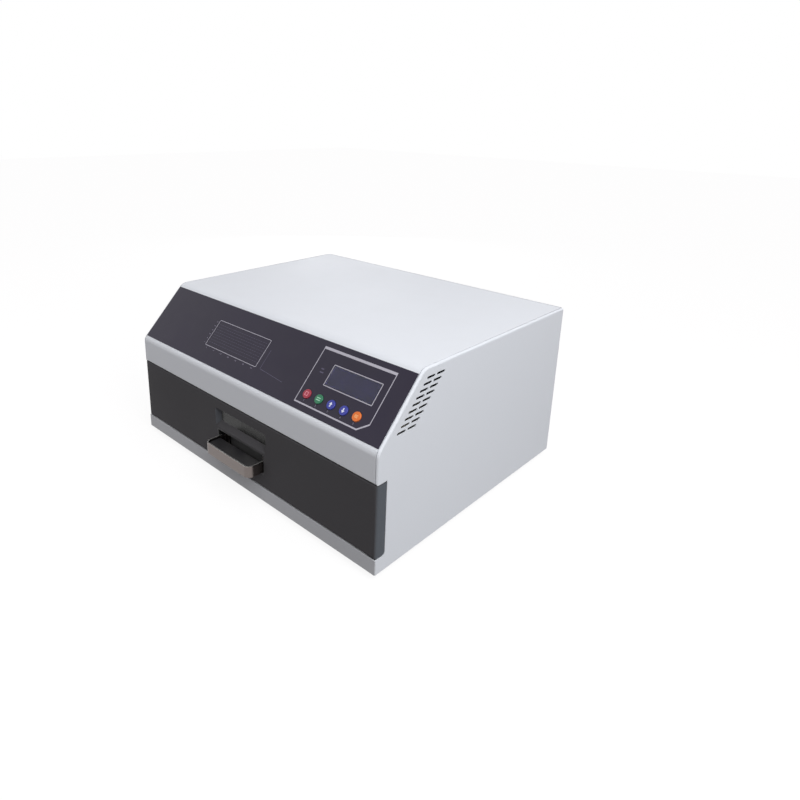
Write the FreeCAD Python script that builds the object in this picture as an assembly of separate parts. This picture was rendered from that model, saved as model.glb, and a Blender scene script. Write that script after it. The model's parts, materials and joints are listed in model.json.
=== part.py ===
import FreeCAD
import Part

import math
import os

Vec = FreeCAD.Vector

# Bench reflow oven, in millimetres. While it is modelled, x is measured from the middle of the oven,
# y from the front face towards the back and z from the underside of the base pan.

# Casing of folded sheet steel
body_width = 453.0
body_depth = 370.0
sheet = 1.2
base_lip_height = 18.0
base_flange = 15.0
drawer_height = 85.0
drawer_gap = 1.25
band_height = 34.0
slope_run = 67.0
slope_rise = 70.5
low_bend = 12.0
high_bend = 15.5
rim_width = 2.7
rim_radius = 2.5
side_flange = 12.0
seam_gap = 0.7
lip_corner = 1.0
foot_height = 8.0
foot_radius = 12.0
foot_taper = 1.8
foot_inset = 45.0

# Ventilation slots, in columns that follow the sloping face
vent_rows = 9
vent_columns = 2
vent_length = 14.0
vent_height = 3.2
vent_start = 31.8
vent_step = 8.11
vent_inset = 16.5
vent_column_step = 16.6

# Control panel, measured up the sloping face from its lower edge
overlay_thickness = 0.5
overlay_margin = 0.4
panel_margin = 25.7
key_count = 5
key_radius = 5.5
key_pitch = 18.8
key_rise = 24.9
key_edge = 94.8
key_proud = 1.3
key_collar = 1.6
key_collar_height = 1.0
key_travel = 0.8
key_play = 0.35
display_width = 69.0
display_height = 23.5
display_rise = 42.2
display_edge = 11.0
display_border = 4.0
display_depth = 8.0
board_width = 118.0
board_height = 72.0
board_rise = 7.0
board_thickness = 1.6
standoff_radius = 3.0
standoff_inset = 4.5
switch_size = 6.0

# Oven chamber and its insulation
liner = 1.2
insulation = 12.0
side_bay = 34.0
rear_bay = 32.0
seal_band = 9.0
seal_depth = 3.0
seal_width = 6.0
seal_offset = 2.0
roof_drop = 13.5
duct_radius = 30.0
shaft_hole_radius = 5.0

# Heaters, reflector and temperature probes
tube_count = 6
tube_radius = 5.0
tube_gap = 1.7
tube_margin = 40.0
cap_length = 12.0
cap_size = 16.0
fold_depth = 7.0
reflector_sheet = 0.8
probe_radius = 1.5
probe_reach = 24.0
probe_duct_gap = 6.5
probe_rise = 18.0
probe_nut_radius = 4.0
probe_nut_height = 3.0

# Circulation fan on the roof
shelf_sheet = 1.2
motor_radius = 26.0
motor_height = 38.0
motor_shaft_radius = 3.0
motor_shaft_depth = 20.0
running_fit = 0.05
impeller_radius = 50.0
impeller_hub = 10.0
impeller_height = 8.0
impeller_gap = 1.5
impeller_blades = 6
impeller_pitch = 55.0
blade_sheet = 1.2
blade_root = 2.0

# Electronics on the shelf
power_board_size = (90.0, 100.0)
power_board_lift = 6.0
heat_sink_size = (40.0, 22.0, 28.0)
fin_count = 5
fin_sheet = 2.0
fin_base = 5.0
relay_size = (25.0, 30.0, 18.0)
transformer_size = (66.0, 54.0, 46.0)
core_depth = 27.0
coil_step = 12.0
coil_corner = 5.0

# Exhaust fan on the rear panel
fan_hole_pitch = 71.5
fan_rim = 4.25
fan_wall = 2.0
fan_depth = 25.0
fan_inset = 110.0
fan_hub = 16.0
fan_strut = 4.0
fan_shaft_radius = 1.5
fan_blades = 7
fan_pitch = 38.0
fan_blade_gap = 1.2
guard_depth = 6.0
guard_wire = 1.5
guard_rings = 3
guard_sides = 20
guard_foot_radius = 4.0

# Mains inlet with its rocker switch
inlet_inset = 84.0
inlet_rise = 34.0
inlet_flange = (31.0, 62.0, 2.5)
inlet_body = (27.0, 54.0, 25.0)
socket_size = (24.0, 16.5, 16.0)
socket_rise = 15.5
pin_size = (2.0, 4.0)
pin_spread = 7.0
pin_recess = 5.5
rocker_width = 13.0
rocker_length = 20.0
rocker_rise = 45.0
rocker_tilt = 10.0
rocker_crown = 3.2
rocker_valley = 2.0
rocker_belly = 5.0
rocker_pin_radius = 1.0
rocker_pin_length = 1.5
rocker_play = 0.5

# Drawer front with its window and handle
return_depth = 14.0
return_play = 0.8
drawer_corner = 4.0
drawer_edge = 1.5
window_half = 51.0
window_bottom = 46.75
window_top = 72.75
window_bevel = (6.0, 7.5, 4.0)
window_depth = 5.5
window_lap = 3.0
glass_thickness = 4.0
pocket_half = 46.0
pocket_bottom = 19.25
pocket_top = 43.25
pocket_back_gap = 4.0
pocket_wall = 1.2
handle_play = 1.0
handle_reach = 22.0
handle_lift = 1.0
handle_height = 15.0
handle_strip = 2.0
handle_bend = 7.0
handle_tab = 9.0
grip_step = 2.5

# Telescopic slides and the tray
slide_height = 27.0
slide_width = 10.0
slide_sheet = 1.2
slide_ball = 1.6
slide_lip_gap = 1.5
slide_web_gap = 1.1
slide_lift = 4.0
slide_setback = 2.0
slide_end_gap = 13.4
retainer_margin = 25.0
tray_height = 34.0
tray_ledge = 10.0
tray_ledge_drop = 6.0
tray_back_gap = 6.0
mesh_thickness = 1.5
mesh_play = 0.4
mesh_border = 8.0
mesh_pitch = 28.0
mesh_bar = 4.0

# Screws
screw_radius = 1.5
screw_hole = 1.65
screw_head_radius = 3.2
screw_head_height = 2.0
screw_length = 5.0
rail_screw_pitch = 110.0
head_sides = 12
round_sides = 24

# How far a cutting solid passes the face that it cuts, and how near counts as touching
spill = 1.0
touch = 0.01

# Levels and planes worked out from the sizes above
half_width = body_width / 2
drawer_bottom = base_lip_height + drawer_gap
drawer_top = drawer_bottom + drawer_height
band_bottom = drawer_top + drawer_gap
band_top = band_bottom + band_height
body_height = band_top + slope_rise
cover_half = half_width - rim_width - seam_gap
rear_inner = body_depth - sheet
slope_length = math.hypot(slope_run, slope_rise)
slope_angle = math.degrees(math.atan2(slope_rise, slope_run))
slope_frame = FreeCAD.Placement(Vec(0, 0, band_top), FreeCAD.Rotation(Vec(1, 0, 0), slope_angle))
frame_front = return_depth + seal_depth
frame_back = frame_front + liner
opening_bottom = drawer_bottom + seal_band
opening_top = drawer_top - seal_band
chamber_half = half_width - sheet - side_bay - insulation - liner
chamber_back_y = rear_inner - rear_bay - insulation - liner
chamber_middle_y = (frame_back + chamber_back_y) / 2
roof_z = band_top - roof_drop
roof_top = roof_z + liner
shelf_z = roof_top + insulation
shelf_top = shelf_z + shelf_sheet
tube_drop = reflector_sheet + fold_depth + impeller_gap + impeller_height + tube_gap + tube_radius
tube_z = roof_z - tube_drop
tube_pitch = (chamber_back_y - frame_back - 2 * tube_margin) / (tube_count - 1)
impeller_top = roof_z - reflector_sheet - fold_depth - impeller_gap
fan_size = fan_hole_pitch + 2 * fan_rim
fan_bore = fan_size / 2 - fan_wall
fan_x = half_width - fan_inset
fan_z = (opening_bottom + roof_z) / 2
fan_front = rear_inner - fan_depth
inlet_x = inlet_inset - half_width
slide_z = opening_bottom + slide_lift + slide_height / 2
tray_half = chamber_half - slide_width
tray_bottom = slide_z - slide_height / 2
tray_top = tray_bottom + tray_height
tray_back_y = chamber_back_y - tray_back_gap
ledge_z = tray_top - tray_ledge_drop
probe_z = tray_top + probe_rise
probe_spread = fan_x - duct_radius - probe_duct_gap
rail_start = frame_back + slide_setback
slide_length = chamber_back_y - slide_end_gap - rail_start
retainer_length = slide_length - 2 * retainer_margin
panel_right = half_width - panel_margin
key_start = panel_right - key_edge
board_z = -sheet - display_depth
edge_screw_x = half_width - (rim_width + side_flange) / 2
pocket_depth = return_depth - pocket_back_gap
handle_half = pocket_half - handle_play
handle_z = drawer_bottom + pocket_bottom + handle_lift
rear_reach = guard_depth + screw_head_height

# The origin lies under the middle of the whole object, on the surface that it stands on
origin = Vec(0, -(body_depth + rear_reach - handle_reach) / 2, foot_height)


def block(x0, x1, y0, y1, z0, z1):
    return Part.makeBox(x1 - x0, y1 - y0, z1 - z0, Vec(x0, y0, z0))


def rod(radius, length, base, axis):
    return Part.makeCylinder(radius, length, base, axis)


def polygon_face(points):
    return Part.Face(Part.makePolygon(points + points[:1]))


def prism(radius, length, base, axis, sides=8):
    turns = [2 * math.pi * index / sides for index in range(sides)]
    corners = [Vec(radius * math.cos(turn), radius * math.sin(turn), 0) for turn in turns]
    solid = polygon_face(corners).extrude(Vec(0, 0, length))
    solid.Placement = FreeCAD.Placement(base, FreeCAD.Rotation(Vec(0, 0, 1), axis))
    return solid


def mirrored(shape):
    return shape.mirror(Vec(0, 0, 0), Vec(1, 0, 0))


def joined(first, *others):
    return first.fuse(list(others)).removeSplitter()


def on_slope(shape):
    return shape.transformed(slope_frame.toMatrix())


def rounded_wire(points, radii):
    edges = []
    starts = []
    ends = []
    count = len(points)
    for index, (corner, radius) in enumerate(zip(points, radii)):
        back = (points[index - 1] - corner).normalize()
        ahead = (points[(index + 1) % count] - corner).normalize()
        half = back.getAngle(ahead) / 2
        starts.append(corner + back * (radius / math.tan(half)))
        ends.append(corner + ahead * (radius / math.tan(half)))
        if radius > 0:
            middle = corner + (back + ahead).normalize() * (radius / math.sin(half) - radius)
            edges.append(Part.Arc(starts[-1], middle, ends[-1]).toShape())
    for index in range(count):
        edges.append(Part.LineSegment(ends[index - 1], starts[index]).toShape())
    return Part.Wire(Part.__sortEdges__(edges))


def casing_face(inset):
    outline = [
        Vec(0, 0, 0),
        Vec(0, 0, band_top),
        Vec(0, slope_run, body_height),
        Vec(0, body_depth, body_height),
        Vec(0, body_depth, 0),
    ]
    face = Part.Face(rounded_wire(outline, [0, low_bend, high_bend, 0, 0]))
    return face.makeOffset2D(-inset) if inset else face


def casing_slab(inset, x0, x1):
    face = casing_face(inset)
    face.translate(Vec(x0, 0, 0))
    return face.extrude(Vec(x1 - x0, 0, 0))


def slot_cutter(y, z, x0, x1):
    tall = vent_height / 2
    end = vent_length / 2
    nose = tall * math.tan(math.pi / 8)
    flat = end - tall + nose
    right = [(flat, -tall), (end, -nose), (end, nose), (flat, tall)]
    left = [(-dy, -dz) for dy, dz in right]
    outline = [Vec(x0, y + dy, z + dz) for dy, dz in right + left]
    return polygon_face(outline).extrude(Vec(x1 - x0, 0, 0))


def edge_screw_points():
    levels = [base_flange + 2 * screw_head_radius, body_height / 2, body_height - 2 * side_flange]
    return [(side * edge_screw_x, level) for side in (-1, 1) for level in levels]


def inlet_screw_points():
    middle = inlet_rise + inlet_flange[1] / 2
    reach = (inlet_flange[1] + inlet_body[1]) / 4
    return [(inlet_x, middle + side * reach) for side in (-1, 1)]


def fan_screw_points():
    half = fan_hole_pitch / 2
    return [(fan_x + i * half, fan_z + j * half) for i in (-1, 1) for j in (-1, 1)]


def base_pan():
    floor = block(sheet - half_width, half_width - sheet, sheet, body_depth - 2 * sheet, 0, sheet)
    front = block(-half_width, half_width, 0, sheet, 0, base_lip_height)
    corners = [e for e in front.Edges if e.CenterOfMass.y < touch and abs(e.CenterOfMass.x) > touch]
    front = front.makeFillet(lip_corner, corners)
    back_fold = block(-half_width, half_width, sheet, frame_front, base_lip_height - sheet, base_lip_height)
    inner = half_width - side_flange - seam_gap
    rear = block(-inner, inner, body_depth - 2 * sheet, rear_inner, 0, base_flange)
    outer = half_width - sheet
    side = block(outer - sheet, outer, frame_back, body_depth - 2 * sheet, 0, base_flange)
    back_fold = back_fold.common(block(-inner, inner, 0, body_depth, 0, body_height))
    return joined(front, floor, back_fold, rear, side, mirrored(side))


def right_side_panel():
    wall = casing_slab(0, half_width - rim_width, half_width)
    outer = []
    for edge in wall.Edges:
        on_side = all(abs(v.X - half_width) < touch for v in edge.Vertexes)
        if on_side and edge.CenterOfMass.z > touch:
            outer.append(edge)
    wall = wall.makeFillet(rim_radius, outer)
    wall = wall.cut(casing_slab(2 * sheet, half_width - 2 * rim_width, half_width - sheet))
    flange = casing_slab(sheet, half_width - side_flange, half_width - rim_width)
    flange = flange.cut(casing_slab(2 * sheet, half_width - 2 * side_flange, half_width))
    panel = wall.fuse(flange)
    inside = half_width - sheet
    flange_limit = body_depth - 2 * sheet
    cutters = [
        block(0, inside, -spill, flange_limit, -spill, band_bottom + sheet),
        block(0, inside, -spill, body_depth + spill, -spill, 2 * sheet),
        block(0, body_width, -spill, return_depth + return_play, base_lip_height, band_bottom),
        block(0, body_width, -spill, sheet, -spill, base_lip_height),
    ]
    angle = math.radians(slope_angle)
    for row in range(vent_rows):
        along = vent_start + row * vent_step
        y = along * math.cos(angle) + vent_inset * math.sin(angle)
        z = band_top + along * math.sin(angle) - vent_inset * math.cos(angle)
        for column in range(vent_columns):
            across = y + column * vent_column_step
            cutters.append(slot_cutter(across, z, inside - spill, half_width + spill))
    for x, z in edge_screw_points():
        if x > 0:
            cutters.append(prism(screw_hole, 4 * sheet, Vec(x, rear_inner - 2 * sheet, z), Vec(0, 1, 0)))
    return panel.cut(cutters).removeSplitter()


def slope_cutters():
    deep = 4 * sheet
    tools = []
    for index in range(key_count):
        centre = Vec(key_start + index * key_pitch, key_rise, -deep)
        tools.append(prism(key_radius + key_play, 2 * deep, centre, Vec(0, 0, 1), round_sides))
    right = panel_right - display_edge
    high = display_rise + display_height
    tools.append(block(right - display_width, right, display_rise, high, -deep, deep))
    return tools


def top_cover():
    skin = casing_slab(0, -cover_half, cover_half).cut(casing_slab(sheet, -body_width, body_width))
    past = body_depth + spill
    skin = skin.cut(block(-body_width, body_width, -spill, past, -spill, band_bottom))
    skin = skin.cut(block(-body_width, body_width, rear_inner - seam_gap, past, 0, body_height + spill))
    fold = block(-cover_half, cover_half, sheet, frame_front, band_bottom, band_bottom + sheet)
    return joined(skin, fold).cut([on_slope(tool) for tool in slope_cutters()])


def control_overlay():
    low = low_bend * math.tan(math.radians(90 - slope_angle) / 2) + overlay_margin
    high = slope_length - high_bend * math.tan(math.radians(slope_angle) / 2) - overlay_margin
    film = block(-cover_half, cover_half, low, high, 0, overlay_thickness)
    return on_slope(film.cut(slope_cutters()))


def display_window():
    right = panel_right - display_edge
    lens = block(right - display_width, right, display_rise, display_rise + display_height,
                 -sheet, overlay_thickness)
    return on_slope(lens)


def display_module():
    right = panel_right - display_edge + display_border
    left = right - display_width - 2 * display_border
    low = display_rise - display_border
    high = display_rise + display_height + display_border
    return on_slope(block(left, right, low, high, board_z, -sheet))


def key_cap(index):
    bottom = -sheet - key_collar_height
    half = key_radius + key_collar
    collar = block(-half, half, -half, half, bottom, -sheet)
    top = overlay_thickness + key_proud
    bevel = key_proud / 2
    cap = prism(key_radius, top + sheet, Vec(0, 0, -sheet), Vec(0, 0, 1), round_sides)
    cap = cap.makeChamfer(bevel, [e for e in cap.Edges if abs(e.CenterOfMass.z - top) < touch])
    key = joined(cap, collar)
    key.translate(Vec(key_start + index * key_pitch, key_rise, 0))
    return on_slope(key)


def control_board():
    left = panel_right - board_width + standoff_inset
    high = board_rise + board_height
    board = block(left, left + board_width, board_rise, high, board_z - board_thickness, board_z)
    top = -sheet - key_collar_height - key_travel - key_play / 2
    half = switch_size / 2
    pieces = []
    for index in range(key_count):
        x = key_start + index * key_pitch
        middle = (board_z + top) / 2
        pieces.append(block(x - half, x + half, key_rise - half, key_rise + half, board_z, middle))
        pieces.append(prism(half / 2, top - board_z, Vec(x, key_rise, board_z), Vec(0, 0, 1)))
    return on_slope(joined(board, *pieces))


def board_standoffs():
    left = panel_right - board_width + standoff_inset
    posts = []
    for x in (left + standoff_inset, left + board_width - standoff_inset):
        for v in (board_rise + standoff_inset, board_rise + board_height - standoff_inset):
            post = prism(standoff_radius, display_depth, Vec(x, v, board_z), Vec(0, 0, 1), 6)
            posts.append(on_slope(post))
    return Part.makeCompound(posts)


def rear_panel():
    panel = block(-cover_half, cover_half, rear_inner, body_depth, 0, body_height)
    y = rear_inner - sheet
    tools = [prism(fan_bore, 3 * sheet, Vec(fan_x, y, fan_z), Vec(0, 1, 0), 2 * round_sides)]
    for x, z in edge_screw_points() + inlet_screw_points() + fan_screw_points():
        tools.append(prism(screw_hole, 3 * sheet, Vec(x, y, z), Vec(0, 1, 0)))
    half = inlet_body[0] / 2
    low = inlet_rise + (inlet_flange[1] - inlet_body[1]) / 2
    tools.append(block(inlet_x - half, inlet_x + half, y, y + 3 * sheet, low, low + inlet_body[1]))
    return panel.cut(tools)


def rubber_feet():
    feet = []
    for x in (foot_inset - half_width, half_width - foot_inset):
        for y in (foot_inset, body_depth - foot_inset):
            foot = Part.makeCone(foot_radius - foot_taper, foot_radius, foot_height, Vec(x, y, -foot_height))
            feet.append(foot)
    return Part.makeCompound(feet)


def rear_screw(x, z, seat, length):
    head = prism(screw_head_radius, screw_head_height, Vec(x, seat, z), Vec(0, 1, 0), head_sides)
    shank = prism(screw_radius, length, Vec(x, seat - length, z), Vec(0, 1, 0))
    return joined(head, shank)


def rear_screws():
    screws = [rear_screw(x, z, body_depth, screw_length) for x, z in edge_screw_points()]
    seat = body_depth + inlet_flange[2]
    screws += [rear_screw(x, z, seat, screw_length) for x, z in inlet_screw_points()]
    seat = body_depth + guard_depth
    length = guard_depth + sheet + screw_length
    screws += [rear_screw(x, z, seat, length) for x, z in fan_screw_points()]
    return Part.makeCompound(screws)


def fan_guard():
    seat = body_depth
    bars_y = seat + guard_depth - guard_wire
    axis = Vec(0, 1, 0)
    pieces = []
    for ring in range(guard_rings):
        outer = fan_bore * (ring + 1) / guard_rings
        disc = prism(outer, guard_wire, Vec(fan_x, bars_y, fan_z), axis, guard_sides)
        middle = Vec(fan_x, bars_y - guard_wire / 2, fan_z)
        hole = prism(outer - guard_wire, 2 * guard_wire, middle, axis, guard_sides)
        pieces.append(disc.cut(hole))
    half = fan_hole_pitch / 2
    reach = math.hypot(half, half)
    inner = fan_bore / guard_rings - guard_wire / 2
    for turn in (45, 135, 225, 315):
        bar = block(inner, reach, bars_y, bars_y + guard_wire, -guard_wire, guard_wire)
        bar.rotate(Vec(0, 0, 0), axis, turn)
        bar.translate(Vec(fan_x, 0, fan_z))
        pieces.append(bar)
    for x, z in fan_screw_points():
        pieces.append(prism(guard_foot_radius, guard_depth, Vec(x, seat, z), axis))
    guard = joined(*pieces)
    holes = []
    for x, z in fan_screw_points():
        holes.append(prism(screw_hole, 3 * guard_depth, Vec(x, seat - guard_depth, z), axis))
    return guard.cut(holes)


def exhaust_fan_frame():
    half = fan_size / 2
    axis = Vec(0, 1, 0)
    frame = block(fan_x - half, fan_x + half, fan_front, rear_inner, fan_z - half, fan_z + half)
    start = Vec(fan_x, fan_front - spill, fan_z)
    frame = frame.cut(prism(fan_bore, 2 * fan_depth, start, axis, 2 * round_sides))
    hub = prism(fan_hub, fan_strut, Vec(fan_x, fan_front, fan_z), axis, round_sides)
    struts = []
    half_strut = fan_strut / 2
    strut_back = fan_front + fan_strut
    for turn in (0, 90, 180, 270):
        strut = block(fan_hub / 2, fan_bore + spill, fan_front, strut_back, -half_strut, half_strut)
        strut.rotate(Vec(0, 0, 0), axis, turn)
        strut.translate(Vec(fan_x, 0, fan_z))
        struts.append(strut)
    frame = joined(frame, hub, *struts)
    holes = [rod(fan_shaft_radius + running_fit, 2 * fan_depth, start, axis)]
    for x, z in fan_screw_points():
        holes.append(prism(screw_hole, 2 * fan_depth, Vec(x, fan_front - spill, z), axis))
    return frame.cut(holes)


def bladed_rotor(hub_radius, hub_height, tip_radius, blades, chord, pitch_angle):
    rotor = prism(hub_radius, hub_height, Vec(0, 0, 0), Vec(0, 0, 1), round_sides)
    turn = math.radians(pitch_angle)
    along = Vec(0, math.cos(turn), math.sin(turn)) * (chord / 2)
    across = Vec(0, -math.sin(turn), math.cos(turn)) * (blade_sheet / 2)
    root = Vec(hub_radius - blade_root, 0, hub_height / 2)
    corners = [along + across, across - along, -along - across, along - across]
    section = polygon_face([root + corner for corner in corners])
    vanes = []
    for index in range(blades):
        vane = section.extrude(Vec(tip_radius - root.x, 0, 0))
        vane.rotate(Vec(0, 0, 0), Vec(0, 0, 1), index * 360 / blades)
        vanes.append(vane)
    reach = prism(tip_radius, hub_height, Vec(0, 0, 0), Vec(0, 0, 1), 2 * round_sides)
    return joined(rotor, *vanes).common(reach)


def exhaust_fan_rotor():
    start = fan_front + fan_strut + fan_blade_gap
    height = fan_depth - fan_strut - 2 * fan_blade_gap
    rotor = bladed_rotor(fan_hub, height, fan_bore - fan_blade_gap, fan_blades, height, fan_pitch)
    length = fan_strut + fan_blade_gap
    shaft = rod(fan_shaft_radius, length, Vec(0, 0, -length), Vec(0, 0, 1))
    rotor = joined(rotor, shaft)
    rotor.rotate(Vec(0, 0, 0), Vec(1, 0, 0), -90)
    rotor.translate(Vec(fan_x, start, fan_z))
    return rotor


def power_inlet():
    width, height, depth = inlet_flange
    body_wide, body_tall, body_deep = inlet_body
    low = inlet_rise + (height - body_tall) / 2
    face = body_depth + depth
    half = width / 2
    flange = block(inlet_x - half, inlet_x + half, body_depth, face, inlet_rise, inlet_rise + height)
    half = body_wide / 2
    body = block(inlet_x - half, inlet_x + half, body_depth - body_deep, body_depth, low, low + body_tall)
    inlet = joined(flange, body)
    socket_z = inlet_rise + socket_rise
    half = socket_size[0] / 2
    tall = socket_size[1] / 2
    chamfer = tall / 2
    corners = [
        (-half, -tall), (half, -tall), (half, tall - chamfer), (half - chamfer, tall), (chamfer - half, tall),
        (-half, tall - chamfer),
    ]
    outline = [Vec(inlet_x + x, face + spill, socket_z + z) for x, z in corners]
    socket = polygon_face(outline).extrude(Vec(0, -socket_size[2] - spill, 0))
    play = rocker_play
    rocker_z = inlet_rise + rocker_rise
    bay_half = rocker_width / 2 + play
    bay_tall = rocker_length / 2 + 2 * play
    bay = block(inlet_x - bay_half, inlet_x + bay_half, body_depth - rocker_belly - play, face + spill,
                rocker_z - bay_tall, rocker_z + bay_tall)
    reach = rocker_width + 2 * rocker_pin_length + 2 * play
    pin_start = Vec(inlet_x - reach / 2, body_depth, rocker_z)
    pins = rod(rocker_pin_radius + running_fit, reach, pin_start, Vec(1, 0, 0))
    inlet = inlet.cut([socket, bay, pins])
    holes = []
    for x, z in inlet_screw_points():
        holes.append(prism(screw_hole, 4 * depth, Vec(x, body_depth - 2 * depth, z), Vec(0, 1, 0)))
    inlet = inlet.cut(holes)
    blades = []
    back = face - socket_size[2]
    thin = pin_size[0] / 2
    tall = pin_size[1] / 2
    for dx, dz in ((-pin_spread, -tall), (pin_spread, -tall), (0, tall)):
        x = inlet_x + dx
        z = socket_z + dz
        blades.append(block(x - thin, x + thin, back - spill, face - pin_recess, z - tall, z + tall))
    return joined(inlet, *blades)


def power_rocker():
    half = rocker_length / 2
    belly = rocker_play - rocker_belly
    side = half - rocker_play
    profile = [
        (-half, rocker_crown), (0, rocker_valley), (half, rocker_crown), (side, -rocker_pin_radius),
        (half / 2, belly), (-half / 2, belly), (-side, -rocker_pin_radius),
    ]
    x0 = -rocker_width / 2
    face = polygon_face([Vec(x0, y, z) for z, y in profile])
    rocker = face.extrude(Vec(rocker_width, 0, 0))
    reach = rocker_width + 2 * rocker_pin_length
    pins = rod(rocker_pin_radius, reach, Vec(-reach / 2, 0, 0), Vec(1, 0, 0))
    rocker = joined(rocker, pins)
    rocker.rotate(Vec(0, 0, 0), Vec(1, 0, 0), rocker_tilt)
    rocker.translate(Vec(inlet_x, body_depth, inlet_rise + rocker_rise))
    return rocker


def front_frame():
    half = half_width - 2 * sheet
    plate = block(-half, half, frame_front, frame_back, sheet, roof_top)
    return plate.cut(block(-chamber_half, chamber_half, 0, body_depth, opening_bottom, opening_top))


def chamber_floor():
    low = opening_bottom - liner
    return block(-chamber_half, chamber_half, frame_back, chamber_back_y, low, opening_bottom)


def chamber_right_wall():
    low = opening_bottom - liner
    wall = block(chamber_half, chamber_half + liner, frame_back, chamber_back_y, low, roof_z)
    return wall.cut(rail_screw_tools(screw_hole))


def roof_shaft_tool():
    start = Vec(0, chamber_middle_y, roof_z - 2 * fold_depth)
    return prism(shaft_hole_radius, body_height, start, Vec(0, 0, 1))


def chamber_roof():
    half = chamber_half + liner
    return block(-half, half, frame_back, chamber_back_y, roof_z, roof_top).cut(roof_shaft_tool())


def back_tools():
    axis = Vec(0, 1, 0)
    tools = [rod(duct_radius, body_depth, Vec(fan_x, frame_back, fan_z), axis)]
    for side in (-1, 1):
        start = Vec(side * probe_spread, frame_back, probe_z)
        tools.append(prism(probe_radius + running_fit, body_depth, start, axis))
    return tools


def chamber_back():
    half = chamber_half + liner
    return block(-half, half, chamber_back_y, chamber_back_y + liner, sheet, roof_top).cut(back_tools())


def back_insulation():
    y = chamber_back_y + liner
    return block(-chamber_half, chamber_half, y, y + insulation, opening_bottom, roof_z).cut(back_tools())


def side_insulation():
    x = chamber_half + liner
    board = block(x, x + insulation, frame_back, chamber_back_y, opening_bottom, roof_z)
    board = board.cut(rail_screw_tools(screw_head_radius + seam_gap, head_sides))
    return Part.makeCompound([board, mirrored(board)])


def roof_insulation():
    half = chamber_half + liner
    return block(-half, half, slope_run, chamber_back_y, roof_top, shelf_z).cut(roof_shaft_tool())


def electronics_shelf():
    half = chamber_half + liner
    return block(-half, half, slope_run, chamber_back_y, shelf_z, shelf_top).cut(roof_shaft_tool())


def reflector():
    start = frame_back + tube_margin / 2
    end = chamber_back_y - tube_margin / 2
    first = frame_back + tube_margin
    path = [(start, 0)]
    for index in range(tube_count - 1):
        ridge = first + (index + 0.5) * tube_pitch
        path += [(ridge - fold_depth, 0), (ridge, -fold_depth), (ridge + fold_depth, 0)]
    path.append((end, 0))
    upper = [Vec(-chamber_half, y, roof_z + z) for y, z in path]
    lower = [Vec(-chamber_half, y, roof_z + z - reflector_sheet) for y, z in reversed(path)]
    folded = polygon_face(upper + lower).extrude(Vec(2 * chamber_half, 0, 0))
    return folded.cut(roof_shaft_tool())


def tube_places():
    return [frame_back + tube_margin + index * tube_pitch for index in range(tube_count)]


def heater_tubes():
    half = chamber_half - cap_length
    tubes = [rod(tube_radius, 2 * half, Vec(-half, y, tube_z), Vec(1, 0, 0)) for y in tube_places()]
    return Part.makeCompound(tubes)


def heater_caps():
    caps = []
    for y in tube_places():
        half = cap_size / 2
        cap = block(chamber_half - cap_length, chamber_half, y - half, y + half, tube_z - half, tube_z + half)
        caps += [cap, mirrored(cap)]
    return Part.makeCompound(caps)


def thermocouples():
    probes = []
    for side in (-1, 1):
        base = Vec(side * probe_spread, chamber_back_y - probe_reach, probe_z)
        seat = chamber_back_y + liner + insulation
        stem = prism(probe_radius, seat - base.y, base, Vec(0, 1, 0))
        nut = prism(probe_nut_radius, probe_nut_height, Vec(base.x, seat, base.z), Vec(0, 1, 0), 6)
        probes.append(joined(stem, nut))
    return Part.makeCompound(probes)


def circulation_motor():
    base = Vec(0, chamber_middle_y, shelf_top)
    can = prism(motor_radius, motor_height, base, Vec(0, 0, 1), round_sides)
    rim = [e for e in can.Edges if abs(e.CenterOfMass.z - shelf_top - motor_height) < touch]
    mouth = base - Vec(0, 0, spill)
    bore = rod(motor_shaft_radius + running_fit, motor_shaft_depth + spill, mouth, Vec(0, 0, 1))
    return can.makeChamfer(motor_shaft_radius, rim).cut(bore)


def circulation_impeller():
    height = impeller_height
    rotor = bladed_rotor(impeller_hub, height, impeller_radius, impeller_blades, height, impeller_pitch)
    length = shelf_top + motor_shaft_depth - running_fit - impeller_top + impeller_height
    shaft = rod(motor_shaft_radius, length, Vec(0, 0, 0), Vec(0, 0, 1))
    rotor = joined(rotor, shaft)
    rotor.translate(Vec(0, chamber_middle_y, impeller_top - impeller_height))
    return rotor


def power_board():
    width, depth = power_board_size
    x0 = -chamber_half + insulation
    y1 = chamber_back_y - insulation
    z0 = shelf_top + power_board_lift
    board = block(x0, x0 + width, y1 - depth, y1, z0, z0 + board_thickness)
    posts = []
    for x in (x0 + standoff_inset, x0 + width - standoff_inset):
        for y in (y1 - depth + standoff_inset, y1 - standoff_inset):
            posts.append(prism(standoff_radius, power_board_lift, Vec(x, y, shelf_top), Vec(0, 0, 1), 6))
    top = z0 + board_thickness
    sink_width, sink_depth, sink_height = heat_sink_size
    sink_x = x0 + standoff_inset
    sink_y = y1 - standoff_inset
    fins = [block(sink_x, sink_x + sink_width, sink_y - sink_depth, sink_y, top, top + fin_base)]
    for index in range(fin_count):
        x = sink_x + index * (sink_width - fin_sheet) / (fin_count - 1)
        fins.append(block(x, x + fin_sheet, sink_y - sink_depth, sink_y, top, top + sink_height))
    relay_width, relay_depth, relay_height = relay_size
    relay_x = x0 + width - standoff_inset
    relay_y = y1 - depth / 2
    relay = block(relay_x - relay_width, relay_x, relay_y - relay_depth, relay_y, top, top + relay_height)
    return joined(board, relay, *posts, *fins)


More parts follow.
